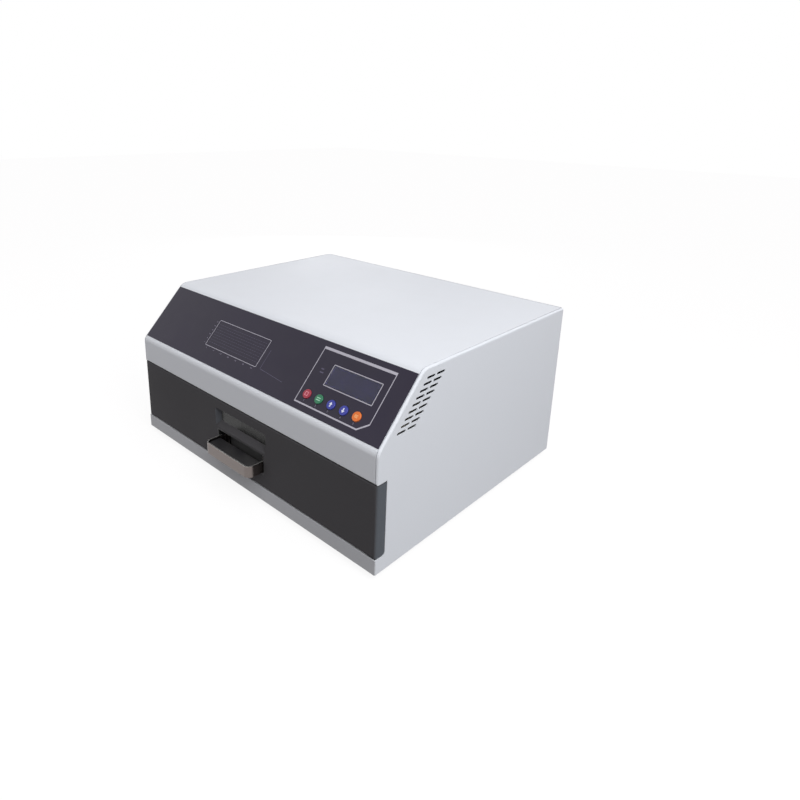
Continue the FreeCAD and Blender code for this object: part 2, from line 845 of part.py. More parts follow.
def mains_transformer():
    width, depth, height = transformer_size
    x0 = chamber_half - insulation - width
    y1 = chamber_back_y - insulation
    middle = y1 - depth / 2
    top = shelf_top + height
    x1 = x0 + width
    core = block(x0, x1, middle - core_depth / 2, middle + core_depth / 2, shelf_top, top)
    coil = block(x0 + coil_step, x1 - coil_step, y1 - depth, y1, shelf_top + coil_step, top - coil_step)
    edges = [e for e in coil.Edges if abs(e.CenterOfMass.z - (shelf_top + top) / 2) < touch]
    return joined(core, coil.makeFillet(coil_corner, edges))


def channel(web_x, tip_x, half_height, z):
    start = rail_start
    end = rail_start + slide_length
    inner = web_x - slide_sheet if tip_x < web_x else web_x + slide_sheet
    low_x, high_x = sorted((web_x, tip_x))
    solid = block(low_x, high_x, start, end, z - half_height, z + half_height)
    hollow_x0, hollow_x1 = sorted((inner, tip_x + (tip_x - web_x)))
    half = half_height - slide_sheet
    return solid.cut(block(hollow_x0, hollow_x1, start - spill, end + spill, z - half, z + half))


def rail_screw_places():
    middle = rail_start + slide_length / 2
    return [middle + step * rail_screw_pitch for step in (-1, 0, 1)]


def rail_screw_tools(radius, sides=8):
    tools = []
    for y in rail_screw_places():
        base = Vec(chamber_half - 2 * slide_sheet, y, slide_z)
        tools.append(prism(radius, slide_width + insulation, base, Vec(1, 0, 0), sides))
    return tools


def right_cabinet_rail():
    rail = channel(chamber_half, tray_half + slide_lip_gap, slide_height / 2, slide_z)
    return rail.cut(rail_screw_tools(screw_hole))


def right_middle_web():
    return chamber_half - slide_sheet - slide_web_gap


def right_middle_rail():
    half = slide_height / 2 - slide_sheet - slide_ball
    return channel(right_middle_web(), tray_half + slide_lip_gap, half, slide_z)


def right_drawer_rail():
    half = slide_height / 2 - 2 * slide_sheet - 2 * slide_ball
    tip = right_middle_web() - slide_sheet - slide_web_gap
    return channel(tray_half, tip, half, slide_z)


def right_ball_retainer():
    start = rail_start + (slide_length - retainer_length) / 2
    end = start + retainer_length
    lip = tray_half + slide_lip_gap
    outer = slide_height / 2 - slide_sheet - running_fit
    inner = outer - slide_sheet - slide_ball
    thickness = slide_ball - 2 * running_fit
    strips = []
    for high, web in ((outer, right_middle_web()), (inner, right_middle_web() - slide_sheet - slide_web_gap)):
        upper = block(lip, web, start, end, slide_z + high - thickness, slide_z + high)
        lower = block(lip, web, start, end, slide_z - high, slide_z - high + thickness)
        strips += [upper, lower]
    return Part.makeCompound(strips)


def rail_screws():
    screws = []
    axis = Vec(1, 0, 0)
    for y in rail_screw_places():
        outer = chamber_half + liner
        shank = prism(screw_radius, liner + slide_sheet, Vec(chamber_half - slide_sheet, y, slide_z), axis)
        head = prism(screw_head_radius, screw_head_height, Vec(outer, y, slide_z), axis, head_sides)
        screw = joined(shank, head)
        screws += [screw, mirrored(screw)]
    return Part.makeCompound(screws)


def window_rectangle(y, grow):
    share = y / window_depth
    side, low, high = window_bevel
    half = window_half - side * share + grow
    z0 = drawer_bottom + window_bottom + low * share - grow
    z1 = drawer_bottom + window_top - high * share + grow
    corners = [Vec(-half, y, z0), Vec(half, y, z0), Vec(half, y, z1), Vec(-half, y, z1)]
    return Part.makePolygon(corners + corners[:1])


def window_frustum(y0, y1, grow):
    return Part.makeLoft([window_rectangle(y0, grow), window_rectangle(y1, grow)], True, True)


def pocket_block(grow, y0, y1):
    half = pocket_half + grow
    return block(-half, half, y0, y1, drawer_bottom + pocket_bottom - grow, drawer_bottom + pocket_top + grow)


def pan_plan(half, y0, y1, corner):
    outline = [Vec(-half, y0, drawer_bottom), Vec(half, y0, drawer_bottom)]
    outline += [Vec(half, y1, drawer_bottom), Vec(-half, y1, drawer_bottom)]
    return Part.Face(rounded_wire(outline, [corner, corner, 0, 0])).extrude(Vec(0, 0, drawer_height))


def drawer_front():
    across = pan_plan(half_width, 0, return_depth, drawer_corner)
    side = [Vec(-half_width, 0, drawer_bottom), Vec(-half_width, 0, drawer_top)]
    side += [Vec(-half_width, return_depth, drawer_top), Vec(-half_width, return_depth, drawer_bottom)]
    edges = Part.Face(rounded_wire(side, [drawer_edge, drawer_edge, 0, 0])).extrude(Vec(body_width, 0, 0))
    pan = across.common(edges)
    hollow = pan_plan(half_width - sheet, sheet, 2 * return_depth, drawer_corner - sheet)
    low = drawer_bottom + sheet
    high = drawer_top - sheet
    hollow = hollow.common(block(-half_width, half_width, 0, body_depth, low, high))
    front = joined(pan.cut(hollow), window_frustum(0, window_depth, sheet))
    front = front.cut(window_frustum(-spill, 2 * window_depth, 0))
    return front.cut(pocket_block(pocket_wall, -spill, return_depth))


def drawer_inner_panel():
    inner = half_width - sheet
    low = drawer_bottom + sheet
    high = drawer_top - sheet
    panel = block(-inner, inner, return_depth - sheet, return_depth, low, high)
    half = window_half - window_bevel[0]
    z0 = drawer_bottom + window_bottom + window_bevel[1]
    z1 = drawer_bottom + window_top - window_bevel[2]
    return panel.cut(block(-half, half, 0, 2 * return_depth, z0, z1))


def window_block(lap, y0, y1):
    half = window_half - window_bevel[0] + lap
    z0 = drawer_bottom + window_bottom + window_bevel[1] - lap
    z1 = drawer_bottom + window_top - window_bevel[2] + lap
    return block(-half, half, y0, y1, z0, z1)


def viewing_window():
    return window_block(window_lap, window_depth, window_depth + glass_thickness)


def window_seal():
    y0 = window_depth + glass_thickness
    y1 = return_depth - sheet
    return window_block(window_lap, y0, y1).cut(window_block(0, y0 - spill, y1 + spill))


def handle_pocket():
    cup = pocket_block(pocket_wall, 0, pocket_depth + pocket_wall)
    cup = cup.cut(pocket_block(0, -spill, pocket_depth))
    return cup.cut(handle_screw_tools(screw_hole))


def handle_screw_tools(radius):
    x = handle_half - handle_strip - handle_tab / 2
    z = handle_z + handle_height / 2
    y = pocket_depth - handle_strip
    return [prism(radius, pocket_depth, Vec(side * x, y, z), Vec(0, 1, 0)) for side in (-1, 1)]


def handle_block(inset, y1, bend):
    half = handle_half - inset
    solid = block(-half, half, inset - handle_reach, y1, handle_z, handle_z + handle_height)
    front = inset - handle_reach + touch
    corners = [e for e in solid.Edges if e.CenterOfMass.y < front and abs(e.CenterOfMass.x) > half - touch]
    return solid.makeFillet(bend, corners)


def drawer_handle():
    strip = handle_block(0, pocket_depth, handle_bend)
    strip = strip.cut(handle_block(handle_strip, pocket_depth - handle_strip, handle_bend - handle_strip))
    half = handle_half - handle_strip - handle_tab
    strip = strip.cut(block(-half, half, 0, 2 * pocket_depth, 0, body_height))
    return strip.cut(handle_screw_tools(screw_hole))


def handle_grip():
    grip = handle_block(handle_strip, 0, handle_bend)
    low = handle_z + grip_step
    high = handle_z + handle_height - grip_step
    return grip.common(block(-body_width, body_width, -body_depth, body_depth, low, high))


def handle_screws():
    screws = []
    x = handle_half - handle_strip - handle_tab / 2
    z = handle_z + handle_height / 2
    seat = pocket_depth + pocket_wall
    height = min(screw_head_height, return_depth - sheet - seat - running_fit)
    for side in (-1, 1):
        head = prism(screw_head_radius, height, Vec(side * x, seat, z), Vec(0, 1, 0), head_sides)
        length = pocket_wall + handle_strip
        shank = prism(screw_radius, length, Vec(side * x, seat - length, z), Vec(0, 1, 0))
        screws.append(joined(head, shank))
    return Part.makeCompound(screws)


def door_seal():
    def ring(offset):
        half = chamber_half + offset
        return block(-half, half, return_depth, frame_front, opening_bottom - offset, opening_top + offset)
    return ring(seal_offset + seal_width).cut(ring(seal_offset))


def tray_frame():
    outer = block(-tray_half, tray_half, return_depth, tray_back_y, tray_bottom, tray_top)
    inner = tray_half - sheet
    y0 = return_depth + sheet
    y1 = tray_back_y - sheet
    upper = block(-inner, inner, y0, y1, ledge_z, body_height)
    lower = block(-inner, inner, y0, y1, 0, ledge_z - sheet)
    hole = inner - tray_ledge
    middle = block(-hole, hole, y0 + tray_ledge, y1 - tray_ledge, 0, body_height)
    return outer.cut([upper, lower, middle])


def tray_mesh():
    half = tray_half - sheet - mesh_play
    y0 = return_depth + sheet + mesh_play
    y1 = tray_back_y - sheet - mesh_play
    across = int((2 * half - 2 * mesh_border + mesh_bar) // mesh_pitch)
    along = int((y1 - y0 - 2 * mesh_border + mesh_bar) // mesh_pitch)
    gap = mesh_pitch - mesh_bar
    start_x = -(across * mesh_pitch - mesh_bar) / 2
    start_y = (y0 + y1) / 2 - (along * mesh_pitch - mesh_bar) / 2

    def rectangle(xa, xb, ya, yb):
        corners = [Vec(xa, ya, ledge_z), Vec(xb, ya, ledge_z), Vec(xb, yb, ledge_z), Vec(xa, yb, ledge_z)]
        return Part.makePolygon(corners + corners[:1])

    wires = [rectangle(-half, half, y0, y1)]
    for i in range(across):
        for j in range(along):
            x = start_x + i * mesh_pitch
            y = start_y + j * mesh_pitch
            wires.append(rectangle(x, x + gap, y, y + gap))
    return Part.Face(wires, "Part::FaceMakerBullseye").extrude(Vec(0, 0, mesh_thickness))


def assembly():
    right_panel = right_side_panel()
    right_wall = chamber_right_wall()
    cabinet = right_cabinet_rail()
    middle = right_middle_rail()
    inner = right_drawer_rail()
    retainer = right_ball_retainer()
    pieces = {
        "base_pan": base_pan(),
        "right_side_panel": right_panel,
        "left_side_panel": mirrored(right_panel),
        "top_cover": top_cover(),
        "rear_panel": rear_panel(),
        "rubber_feet": rubber_feet(),
        "rear_screws": rear_screws(),
        "control_overlay": control_overlay(),
        "display_window": display_window(),
        "display_module": display_module(),
        "control_board": control_board(),
        "board_standoffs": board_standoffs(),
        "electronics_shelf": electronics_shelf(),
        "power_board": power_board(),
        "mains_transformer": mains_transformer(),
        "power_inlet": power_inlet(),
        "power_rocker": power_rocker(),
        "exhaust_fan_frame": exhaust_fan_frame(),
        "exhaust_fan_rotor": exhaust_fan_rotor(),
        "fan_guard": fan_guard(),
        "front_frame": front_frame(),
        "chamber_floor": chamber_floor(),
        "chamber_right_wall": right_wall,
        "chamber_left_wall": mirrored(right_wall),
        "chamber_roof": chamber_roof(),
        "chamber_back": chamber_back(),
        "roof_insulation": roof_insulation(),
        "side_insulation": side_insulation(),
        "back_insulation": back_insulation(),
        "reflector": reflector(),
        "heater_tubes": heater_tubes(),
        "heater_caps": heater_caps(),
        "thermocouples": thermocouples(),
        "circulation_motor": circulation_motor(),
        "circulation_impeller": circulation_impeller(),
        "right_cabinet_rail": cabinet,
        "left_cabinet_rail": mirrored(cabinet),
        "right_middle_rail": middle,
        "left_middle_rail": mirrored(middle),
        "right_drawer_rail": inner,
        "left_drawer_rail": mirrored(inner),
        "right_ball_retainer": retainer,
        "left_ball_retainer": mirrored(retainer),
        "rail_screws": rail_screws(),
        "drawer_front": drawer_front(),
        "drawer_inner_panel": drawer_inner_panel(),
        "viewing_window": viewing_window(),
        "window_seal": window_seal(),
        "handle_pocket": handle_pocket(),
        "drawer_handle": drawer_handle(),
        "handle_grip": handle_grip(),
        "handle_screws": handle_screws(),
        "door_seal": door_seal(),
        "tray_frame": tray_frame(),
        "tray_mesh": tray_mesh(),
    }
    for index, name in enumerate(("stop", "start", "up", "down", "menu")):
        pieces[name + "_key"] = key_cap(index)
    return pieces


os.makedirs("parts", exist_ok=True)
for node, shape in assembly().items():
    shape.translate(origin)
    shape.exportStep("parts/" + node + ".step")
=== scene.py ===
import bmesh
import bpy
import json
from math import atan2, cos, pi, radians, sin, sqrt, tan
from mathutils import Matrix, Quaternion, Vector

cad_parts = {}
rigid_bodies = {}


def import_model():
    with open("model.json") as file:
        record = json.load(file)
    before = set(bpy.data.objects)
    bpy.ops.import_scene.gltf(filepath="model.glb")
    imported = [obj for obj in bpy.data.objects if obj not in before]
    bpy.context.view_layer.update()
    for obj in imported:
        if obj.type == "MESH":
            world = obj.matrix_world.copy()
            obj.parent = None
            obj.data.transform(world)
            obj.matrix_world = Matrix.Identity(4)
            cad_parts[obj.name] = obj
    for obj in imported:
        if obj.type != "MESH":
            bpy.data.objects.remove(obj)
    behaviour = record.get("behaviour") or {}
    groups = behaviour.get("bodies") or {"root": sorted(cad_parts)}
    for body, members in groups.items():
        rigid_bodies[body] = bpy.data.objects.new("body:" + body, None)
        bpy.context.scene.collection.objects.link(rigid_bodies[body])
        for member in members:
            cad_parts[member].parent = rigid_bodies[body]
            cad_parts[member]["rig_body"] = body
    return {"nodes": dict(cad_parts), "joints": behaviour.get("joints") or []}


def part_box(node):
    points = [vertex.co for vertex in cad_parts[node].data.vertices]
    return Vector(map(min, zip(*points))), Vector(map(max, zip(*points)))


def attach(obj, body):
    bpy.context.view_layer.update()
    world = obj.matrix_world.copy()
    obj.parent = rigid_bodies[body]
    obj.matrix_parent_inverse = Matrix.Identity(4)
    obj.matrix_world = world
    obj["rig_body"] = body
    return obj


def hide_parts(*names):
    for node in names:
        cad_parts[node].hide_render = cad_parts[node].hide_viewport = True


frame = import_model()
for spare in ("Cube", "Light", "Camera"):  # the start-up scene's own objects
    if spare in bpy.data.objects:
        bpy.data.objects.remove(bpy.data.objects[spare])
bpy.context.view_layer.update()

mm = 0.001
nodes = frame["nodes"]
lowOf = {name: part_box(name)[0] for name in nodes}
highOf = {name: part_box(name)[1] for name in nodes}
boxOf = {name: (lowOf[name], highOf[name]) for name in nodes}
joints = {joint["name"]: joint for joint in frame["joints"]}
print("frame: %d nodes, %d joints" % (len(nodes), len(joints)))


def lengths(**values):  # millimetres in, metres out
    return {name: value * mm for name, value in values.items()}


# main measures of the oven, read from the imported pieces
casing = lengths(sheet=1.2, film=0.5, filmCorner=0.6, lensCorner=0.4, lowBend=12, highBend=15.5, foldBend=1.6,
    rimWidth=2.7, rimRadius=2.5, leastRadius=0.05, seamDepth=4, notchCorner=3, notchPlay=0.8)
sheet = casing["sheet"]
film = casing["film"]
frontY = lowOf["top_cover"].y
bandZ = lowOf["top_cover"].z
topZ = highOf["top_cover"].z
coverX = highOf["top_cover"].x
sideX = highOf["right_side_panel"].x
rearY = highOf["rear_panel"].y
baseZ = lowOf["base_pan"].z
lipZ = highOf["base_pan"].z

# the sloping control face: x across, rise up the slope from its lower edge, proud out of it
slopeNormal = -Vector(joints["menu_press"]["axis"]).normalized()
slopeUp = Vector((0, slopeNormal.z, -slopeNormal.y))
filmEdge = Vector((0, lowOf["control_overlay"].y - film * slopeNormal.y, lowOf["control_overlay"].z))
slopeFoot = filmEdge - slopeUp * ((filmEdge.y - frontY) / slopeUp.y)
slopeTopY = slopeFoot.y + slopeUp.y * (topZ - slopeFoot.z) / slopeUp.z
filmLow = (filmEdge - slopeFoot).length
filmHigh = (highOf["control_overlay"].z - film * slopeNormal.z - slopeFoot.z) / slopeUp.z


# places: an outline's two measures and the level across it become a point
def onSlope(x, rise, proud=0.0):
    return slopeFoot + Vector((x, 0, 0)) + slopeUp * rise + slopeNormal * proud


def slopeSpot(x, rise, lift=0.0):
    return lambda u, v, w: onSlope(x + u, rise + v, lift + w)


def alongX(u, v, w):
    return w, u, v


def alongY(u, v, w):
    return u, w, v


def alongZ(u, v, w):
    return u, v, w


def roundAxis(centre):
    return lambda u, v, w: (centre.x + u, w, centre.z + v)


# outlines
def arc(span, steps, first=0):  # cosine and sine at each step of a turn
    angles = [span * step / steps for step in range(first, steps + 1)]
    return [(cos(angle), sin(angle)) for angle in angles]


def rectangle(x0, x1, y0, y1, inset=0):
    x0, x1, y0, y1 = x0 + inset, x1 - inset, y0 + inset, y1 - inset
    return [(x0, y0), (x1, y0), (x1, y1), (x0, y1)]


def rounded(corners, radii, steps=6):
    points = [Vector(corner) for corner in corners]
    outline = []
    for index, radius in enumerate(radii):
        corner = points[index]
        if radius <= 0:
            outline.append(corner)
            continue
        back = (points[index - 1] - corner).normalized()
        ahead = (points[(index + 1) % len(points)] - corner).normalized()
        half = back.angle(ahead) / 2
        centre = corner + (back + ahead).normalized() * (radius / sin(half))
        start = corner + back * (radius / tan(half)) - centre
        first = atan2(start.y, start.x)
        side = 1 if back.x * ahead.y - back.y * ahead.x < 0 else -1
        for step in range(steps + 1):
            angle = first + side * (pi - 2 * half) * step / steps
            outline.append(centre + radius * Vector((cos(angle), sin(angle))))
    return outline


def shifted(corners, gaps, closed=True):
    points = [Vector(corner) for corner in corners]
    lines = []
    for index in range(len(points) if closed else len(points) - 1):
        along = (points[(index + 1) % len(points)] - points[index]).normalized()
        lines.append((points[index] + Vector((-along.y, along.x)) * gaps[index], along))
    moved = []
    for index in range(0 if closed else 1, len(lines)):
        start, along = lines[index - 1]
        other, across = lines[index]
        gap = other - start
        turn = along.x * across.y - along.y * across.x
        moved.append(start + along * ((gap.x * across.y - gap.y * across.x) / turn))
    if closed:
        return moved
    last, along = lines[-1]
    return [lines[0][0]] + moved + [last + along * (points[-1] - points[-2]).length]


def sheetOutline(corners, radii, thickness, steps):
    inside = shifted(corners, [thickness] * (len(corners) - 1), closed=False)
    inner = rounded(inside, [max(radius - thickness, 0) for radius in radii], steps)
    return rounded(corners, radii, steps) + inner[::-1]


# meshes
def addPoints(bm, points):
    for point in points:
        bm.verts.new(point)


def addLoft(bm, rings, joinEnds=False):
    rows = [[bm.verts.new(point) for point in ring] for ring in rings]
    for low, high in zip(rows, rows[1:] + rows[:1] if joinEnds else rows[1:]):
        for index in range(len(low)):
            after = (index + 1) % len(low)
            bm.faces.new((low[index], low[after], high[after], high[index]))
    if not joinEnds:
        bm.faces.new(rows[0][::-1])
        bm.faces.new(rows[-1])


def addSlab(bm, outline, place, low, high):
    addLoft(bm, [[place(u, v, level) for u, v in outline] for level in (low, high)])


def addLathe(bm, profile, place, sides, joinEnds=False):
    circle = arc(2 * pi, sides)[:-1]
    addLoft(bm, [[place(radius * c, radius * s, level) for c, s in circle] for radius, level in profile], joinEnds)


def addBox(bm, low, high):
    addSlab(bm, rectangle(low[0], high[0], low[1], high[1]), alongZ, low[2], high[2])


def addRod(bm, start, end, radius):
    along = (end - start).normalized()
    side = along.orthogonal().normalized()
    other = along.cross(side)
    profile = [(radius, 0), (radius, (end - start).length)]
    addLathe(bm, profile, lambda u, v, w: start + side * u + other * v + along * w, 10)


def addObject(name, data):
    made = bpy.data.objects.new(name, data)
    bpy.context.scene.collection.objects.link(made)
    return made


def newPiece(name, bm):
    bmesh.ops.remove_doubles(bm, verts=bm.verts, dist=1e-6)
    bmesh.ops.recalc_face_normals(bm, faces=bm.faces)
    mesh = bpy.data.meshes.new(name)
    bm.to_mesh(mesh)
    bm.free()
    if "custom_normal" in mesh.attributes:
        mesh.attributes.remove(mesh.attributes["custom_normal"])
    return addObject(name, mesh)


def built(name, add, *shape, **options):
    bm = bmesh.new()
    add(bm, *shape, **options)
    return newPiece(name, bm)


def finishedMesh(holder):
    graph = bpy.context.evaluated_depsgraph_get()
    return bpy.data.meshes.new_from_object(holder.evaluated_get(graph), depsgraph=graph)


def freeze(piece):
    mesh = finishedMesh(piece)
    piece.modifiers.clear()
    piece.data = mesh
    mesh.name = piece.name
    return piece


def bevelEdges(piece, width, segments=2, angle=35):
    bevel = piece.modifiers.new("bevel", "BEVEL")
    bevel.width = width * mm
    bevel.segments = segments
    bevel.limit_method = "ANGLE"
    bevel.angle_limit = radians(angle)
    return freeze(piece)


def carve(piece, cutter, operation="DIFFERENCE"):
    boolean = piece.modifiers.new("carve", "BOOLEAN")
    boolean.object = cutter
    boolean.operation = operation
    boolean.solver = "EXACT"
    freeze(piece)
    bpy.data.objects.remove(cutter)


def joinPieces(name, *pieces):
    bm = bmesh.new()
    for piece in pieces:
        bm.from_mesh(piece.data)
        bpy.data.objects.remove(piece)
    return newPiece(name, bm)


def cadMesh(name):
    bm = bmesh.new()
    bm.from_mesh(nodes[name].data)
    bmesh.ops.remove_doubles(bm, verts=bm.verts, dist=1e-6)
    return bm


def islands(name):  # the box of each separate solid in a node
    bm = cadMesh(name)
    waiting, found = set(bm.verts), []
    while waiting:
        edge, group = [waiting.pop()], []
        while edge:
            group.append(edge.pop())
            near = {vert for link in group[-1].link_edges for vert in link.verts} & waiting
            waiting -= near
            edge += near
        found.append([Vector([pick(vert.co[axis] for vert in group) for axis in range(3)]) for pick in (min, max)])
    bm.free()
    return sorted(found, key=lambda box: [round(value, 4) for value in box[0]])


finishes = {}


def dress(piece, finish, node, replaces=True, sharp=35):
    piece.data.materials.clear()
    piece.data.materials.append(finishes[finish])
    piece.data.shade_smooth()
    piece.data.set_sharp_from_angle(angle=radians(sharp))
    piece.modifiers.new("weighted", "WEIGHTED_NORMAL").keep_sharp = True
    freeze(piece)
    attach(piece, nodes[node]["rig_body"])
    if replaces:
        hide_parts(node)


def soften(names, finish, width=0.3, segments=2):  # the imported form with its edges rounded
    for name in names.split():
        bm = cadMesh(name)
        bmesh.ops.dissolve_limit(bm, angle_limit=radians(1), verts=bm.verts, edges=bm.edges)
        dress(bevelEdges(newPiece("finished_" + name, bm), width, segments), finish, name)


# node trees
def setSockets(tree, node, wires):
    for label, source in wires.items():
        if isinstance(source, str):  # one of the group's own inputs
            source = tree.nodes["Group Input"].outputs[source]
        if isinstance(source, bpy.types.NodeSocket):
            tree.links.new(source, node.inputs[label])
        else:
            node.inputs[label].default_value = source


def addNode(tree, kind, wires=None, out=0, **settings):
    node = tree.nodes.new(kind)
    for label, value in settings.items():
        setattr(node, label, value)
    setSockets(tree, node, wires or {})
    return node.outputs if out is None else node.outputs[out]


def geo(tree, kind, wires=None, out=0, **settings):
    return addNode(tree, "GeometryNode" + kind, wires, out, **settings)


def shading(tree, kind, wires=None, out=0, **settings):
    return addNode(tree, "ShaderNode" + kind, wires, out, **settings)


def maths(tree, operation, *values):
    return shading(tree, "Math", dict(enumerate(values)), operation=operation)


def ranged(tree, value, low, high, start=0.0, end=1.0):
    return shading(tree, "MapRange", {0: value, 1: low, 2: high, 3: start, 4: end})


# socket kinds, by the type of the first value or else by name
kinds = {float: "Float", int: "Int", tuple: "Vector", "Geometry": "Geometry", "Finish": "Material", "Shape": "Object",
    "Cutter": "Object", "Places": "Object"}


def addInputs(tree, inputs):
    for label, value in inputs.items():
        kind = kinds[label if value is None else type(value)]
        socket = tree.interface.new_socket(label, in_out="INPUT", socket_type="NodeSocket" + kind)
        if value is not None:
            socket.default_value = value
    tree.nodes.new("NodeGroupInput")
    return tree


def makeTree(name, **inputs):
    tree = bpy.data.node_groups.new(name, "GeometryNodeTree")
    tree.interface.new_socket("Geometry", in_out="OUTPUT", socket_type="NodeSocketGeometry")
    return addInputs(tree, {"Geometry": None, **inputs, "Finish": None})


def closeTree(tree, geometry):
    whole = geo(tree, "RealizeInstances", {"Geometry": geometry})
    dressed = geo(tree, "SetMaterial", {"Geometry": whole, "Material": "Finish"})
    addNode(tree, "NodeGroupOutput", {"Geometry": dressed}, None)
    return tree


def shapeOf(tree, label="Shape"):
    return geo(tree, "ObjectInfo", {"Object": label}, "Geometry")


def copies(tree, points, shape, **more):
    return geo(tree, "InstanceOnPoints", {"Points": points, "Instance": shape, **more})


def axisTurn(tree, angle):
    return addNode(tree, "FunctionNodeAxisAngleToRotation", {"Axis": "Axis", "Angle": angle})


def swept(tree, curve, sides, radius, caps):
    section = geo(tree, "CurvePrimitiveCircle", {"Resolution": sides, "Radius": radius})
    return geo(tree, "CurveToMesh", {"Curve": curve, "Profile Curve": section, "Fill Caps": caps})


def makePerforate():
    tree = makeTree("perforate", Cutter=None, Places=None)
    cuts = copies(tree, shapeOf(tree, "Places"), shapeOf(tree, "Cutter"))
    drilled = geo(tree, "MeshBoolean", {"Mesh 1": "Geometry", "Mesh 2": cuts}, operation="DIFFERENCE",
        solver="EXACT")
    return closeTree(tree, drilled)


def makeSetOut():
    tree = makeTree("setOut", Shape=None, Axis=(0, 0, 1), Twist=0.0, Seed=1)
    twist = addNode(tree, "FunctionNodeRandomValue", {2: 0.0, 3: "Twist", "Seed": "Seed"}, 1,
        data_type="FLOAT")
    turn = axisTurn(tree, twist)
    return closeTree(tree, copies(tree, "Geometry", shapeOf(tree), Rotation=turn))


def makeRingGuard():
    tree = makeTree("ringGuard", Rings=4, Reach=0.03, Wire=0.001, Centre=(0, 0, 0))
    spots = geo(tree, "Points", {"Count": "Rings", "Position": "Centre"})
    order = maths(tree, "ADD", geo(tree, "InputIndex"), 1.0)
    reach = maths(tree, "MULTIPLY", maths(tree, "DIVIDE", order, "Rings"), "Reach")
    circle = geo(tree, "CurvePrimitiveCircle", {"Resolution": 64, "Radius": 1.0})
    upright = geo(tree, "Transform", {"Geometry": circle, "Rotation": (pi / 2, 0, 0)})
    rings = geo(tree, "RealizeInstances", {"Geometry": copies(tree, spots, upright, Scale=reach)})
    even = geo(tree, "SetCurveRadius", {"Curve": rings, "Radius": 1.0})
    return closeTree(tree, swept(tree, even, 10, "Wire", False))


def makeBladeRing():
    tree = makeTree("bladeRing", Shape=None, Count=7, Axis=(0, 1, 0), Centre=(0, 0, 0))
    spots = geo(tree, "Points", {"Count": "Count", "Position": "Centre"})
    share = maths(tree, "DIVIDE", geo(tree, "InputIndex"), "Count")
    turn = axisTurn(tree, maths(tree, "MULTIPLY", share, 2 * pi))
    return closeTree(tree, copies(tree, spots, shapeOf(tree), Rotation=turn))


def makeWireGrid():
    tree = makeTree("wireGrid", Corner=(0, 0, 0), Across=0.3, Along=0.3, Layer=0.001, Columns=30, Rows=30,
        Wire=0.0005)
    both = tree.nodes.new("GeometryNodeJoinGeometry")
    layers = (("Rows", "Along", "Across", "Y", "X", 0.0), ("Columns", "Across", "Along", "X", "Y", "Layer"))
    for count, span, length, stepAxis, runAxis, lift in layers:
        pitch = maths(tree, "DIVIDE", span, maths(tree, "SUBTRACT", count, 1.0))
        ways = ((stepAxis, pitch), (runAxis, length), ("Z", lift))
        offset, reach, raised = [shading(tree, "CombineXYZ", {axis: value}) for axis, value in ways]
        start = shading(tree, "VectorMath", {0: "Corner", 1: raised}, operation="ADD")
        spots = geo(tree, "MeshLine", {"Count": count, "Start Location": start, "Offset": offset})
        wires = copies(tree, spots, geo(tree, "CurvePrimitiveLine", {"End": reach}))
        real = geo(tree, "RealizeInstances", {"Geometry": wires})
        tree.links.new(swept(tree, real, 8, "Wire", True), both.inputs[0])
    return closeTree(tree, both.outputs[0])


def makeHeaterCoil():
    tree = makeTree("heaterCoil", Length=0.3, Turns=80.0, Radius=0.003, Wire=0.0004)
    helix = geo(tree, "CurveSpiral", {"Resolution": 12, "Rotations": "Turns", "Start Radius": "Radius",
        "End Radius": "Radius", "Height": "Length"})
    coil = swept(tree, helix, 4, "Wire", True)
    flat = geo(tree, "Transform", {"Geometry": coil, "Rotation": (0, pi / 2, 0)})
    return closeTree(tree, copies(tree, "Geometry", flat))


def makeDashRows():
    tree = makeTree("dashRows", Shape=None, Width=0.1, Height=0.03, Columns=20, Rows=8)
    spots = geo(tree, "MeshGrid", {"Size X": "Width", "Size Y": "Height",
        "Vertices X": "Columns", "Vertices Y": "Rows"})
    return closeTree(tree, copies(tree, spots, shapeOf(tree)))


perforate, setOut, ringGuard = makePerforate(), makeSetOut(), makeRingGuard()
bladeRing, wireGrid, heaterCoil, dashRows = makeBladeRing(), makeWireGrid(), makeHeaterCoil(), makeDashRows()
print("trees: perforate, setOut, ringGuard, bladeRing, wireGrid, heaterCoil, dashRows")


def runTree(piece, tree, finish, **values):
    modifier = piece.modifiers.new(tree.name, "NODES")
    modifier.node_group = tree
    values["Finish"] = finishes[finish]
    for item in tree.interface.items_tree:
        if item.in_out == "INPUT" and item.name in values:
            modifier[item.identifier] = values[item.name]
    return freeze(piece)


def drill(piece, cutter, points, finish):
    places = built("places", addPoints, points)
    runTree(piece, perforate, finish, Cutter=cutter, Places=places)
    bpy.data.objects.remove(cutter)
    bpy.data.objects.remove(places)


def spread(name, tree, finish, shape, points=(), **values):
    piece = runTree(built(name, addPoints, points), tree, finish, Shape=shape, **values)
    bpy.data.objects.remove(shape)
    return piece


# shader groups: only values that vary over the surface leave them
def makeGroup(name, **inputs):
    tree = bpy.data.node_groups.new(name, "ShaderNodeTree")
    return addInputs(tree, inputs)


def closeGroup(tree, **outputs):
    for label in outputs:
        tree.interface.new_socket(label, in_out="OUTPUT", socket_type="NodeSocketFloat")
    addNode(tree, "NodeGroupOutput", outputs, None)
    return tree


def noise(tree, place, scale, detail, **more):
    return shading(tree, "TexNoise", {"Vector": place, "Scale": scale, "Detail": detail, **more})


def makePowderGrain():
    tree = makeGroup("powderGrain", Place=(0, 0, 0), Scale=900.0, Patches=9.0, Speckle=0.3)
    fine = noise(tree, "Place", "Scale", 3.0)
    patch = noise(tree, "Place", "Patches", 5.0)
    tone = shading(tree, "Mix", {0: "Speckle", 2: patch, 3: fine})
    return closeGroup(tree, Tone=tone, Height=fine, Patch=patch)


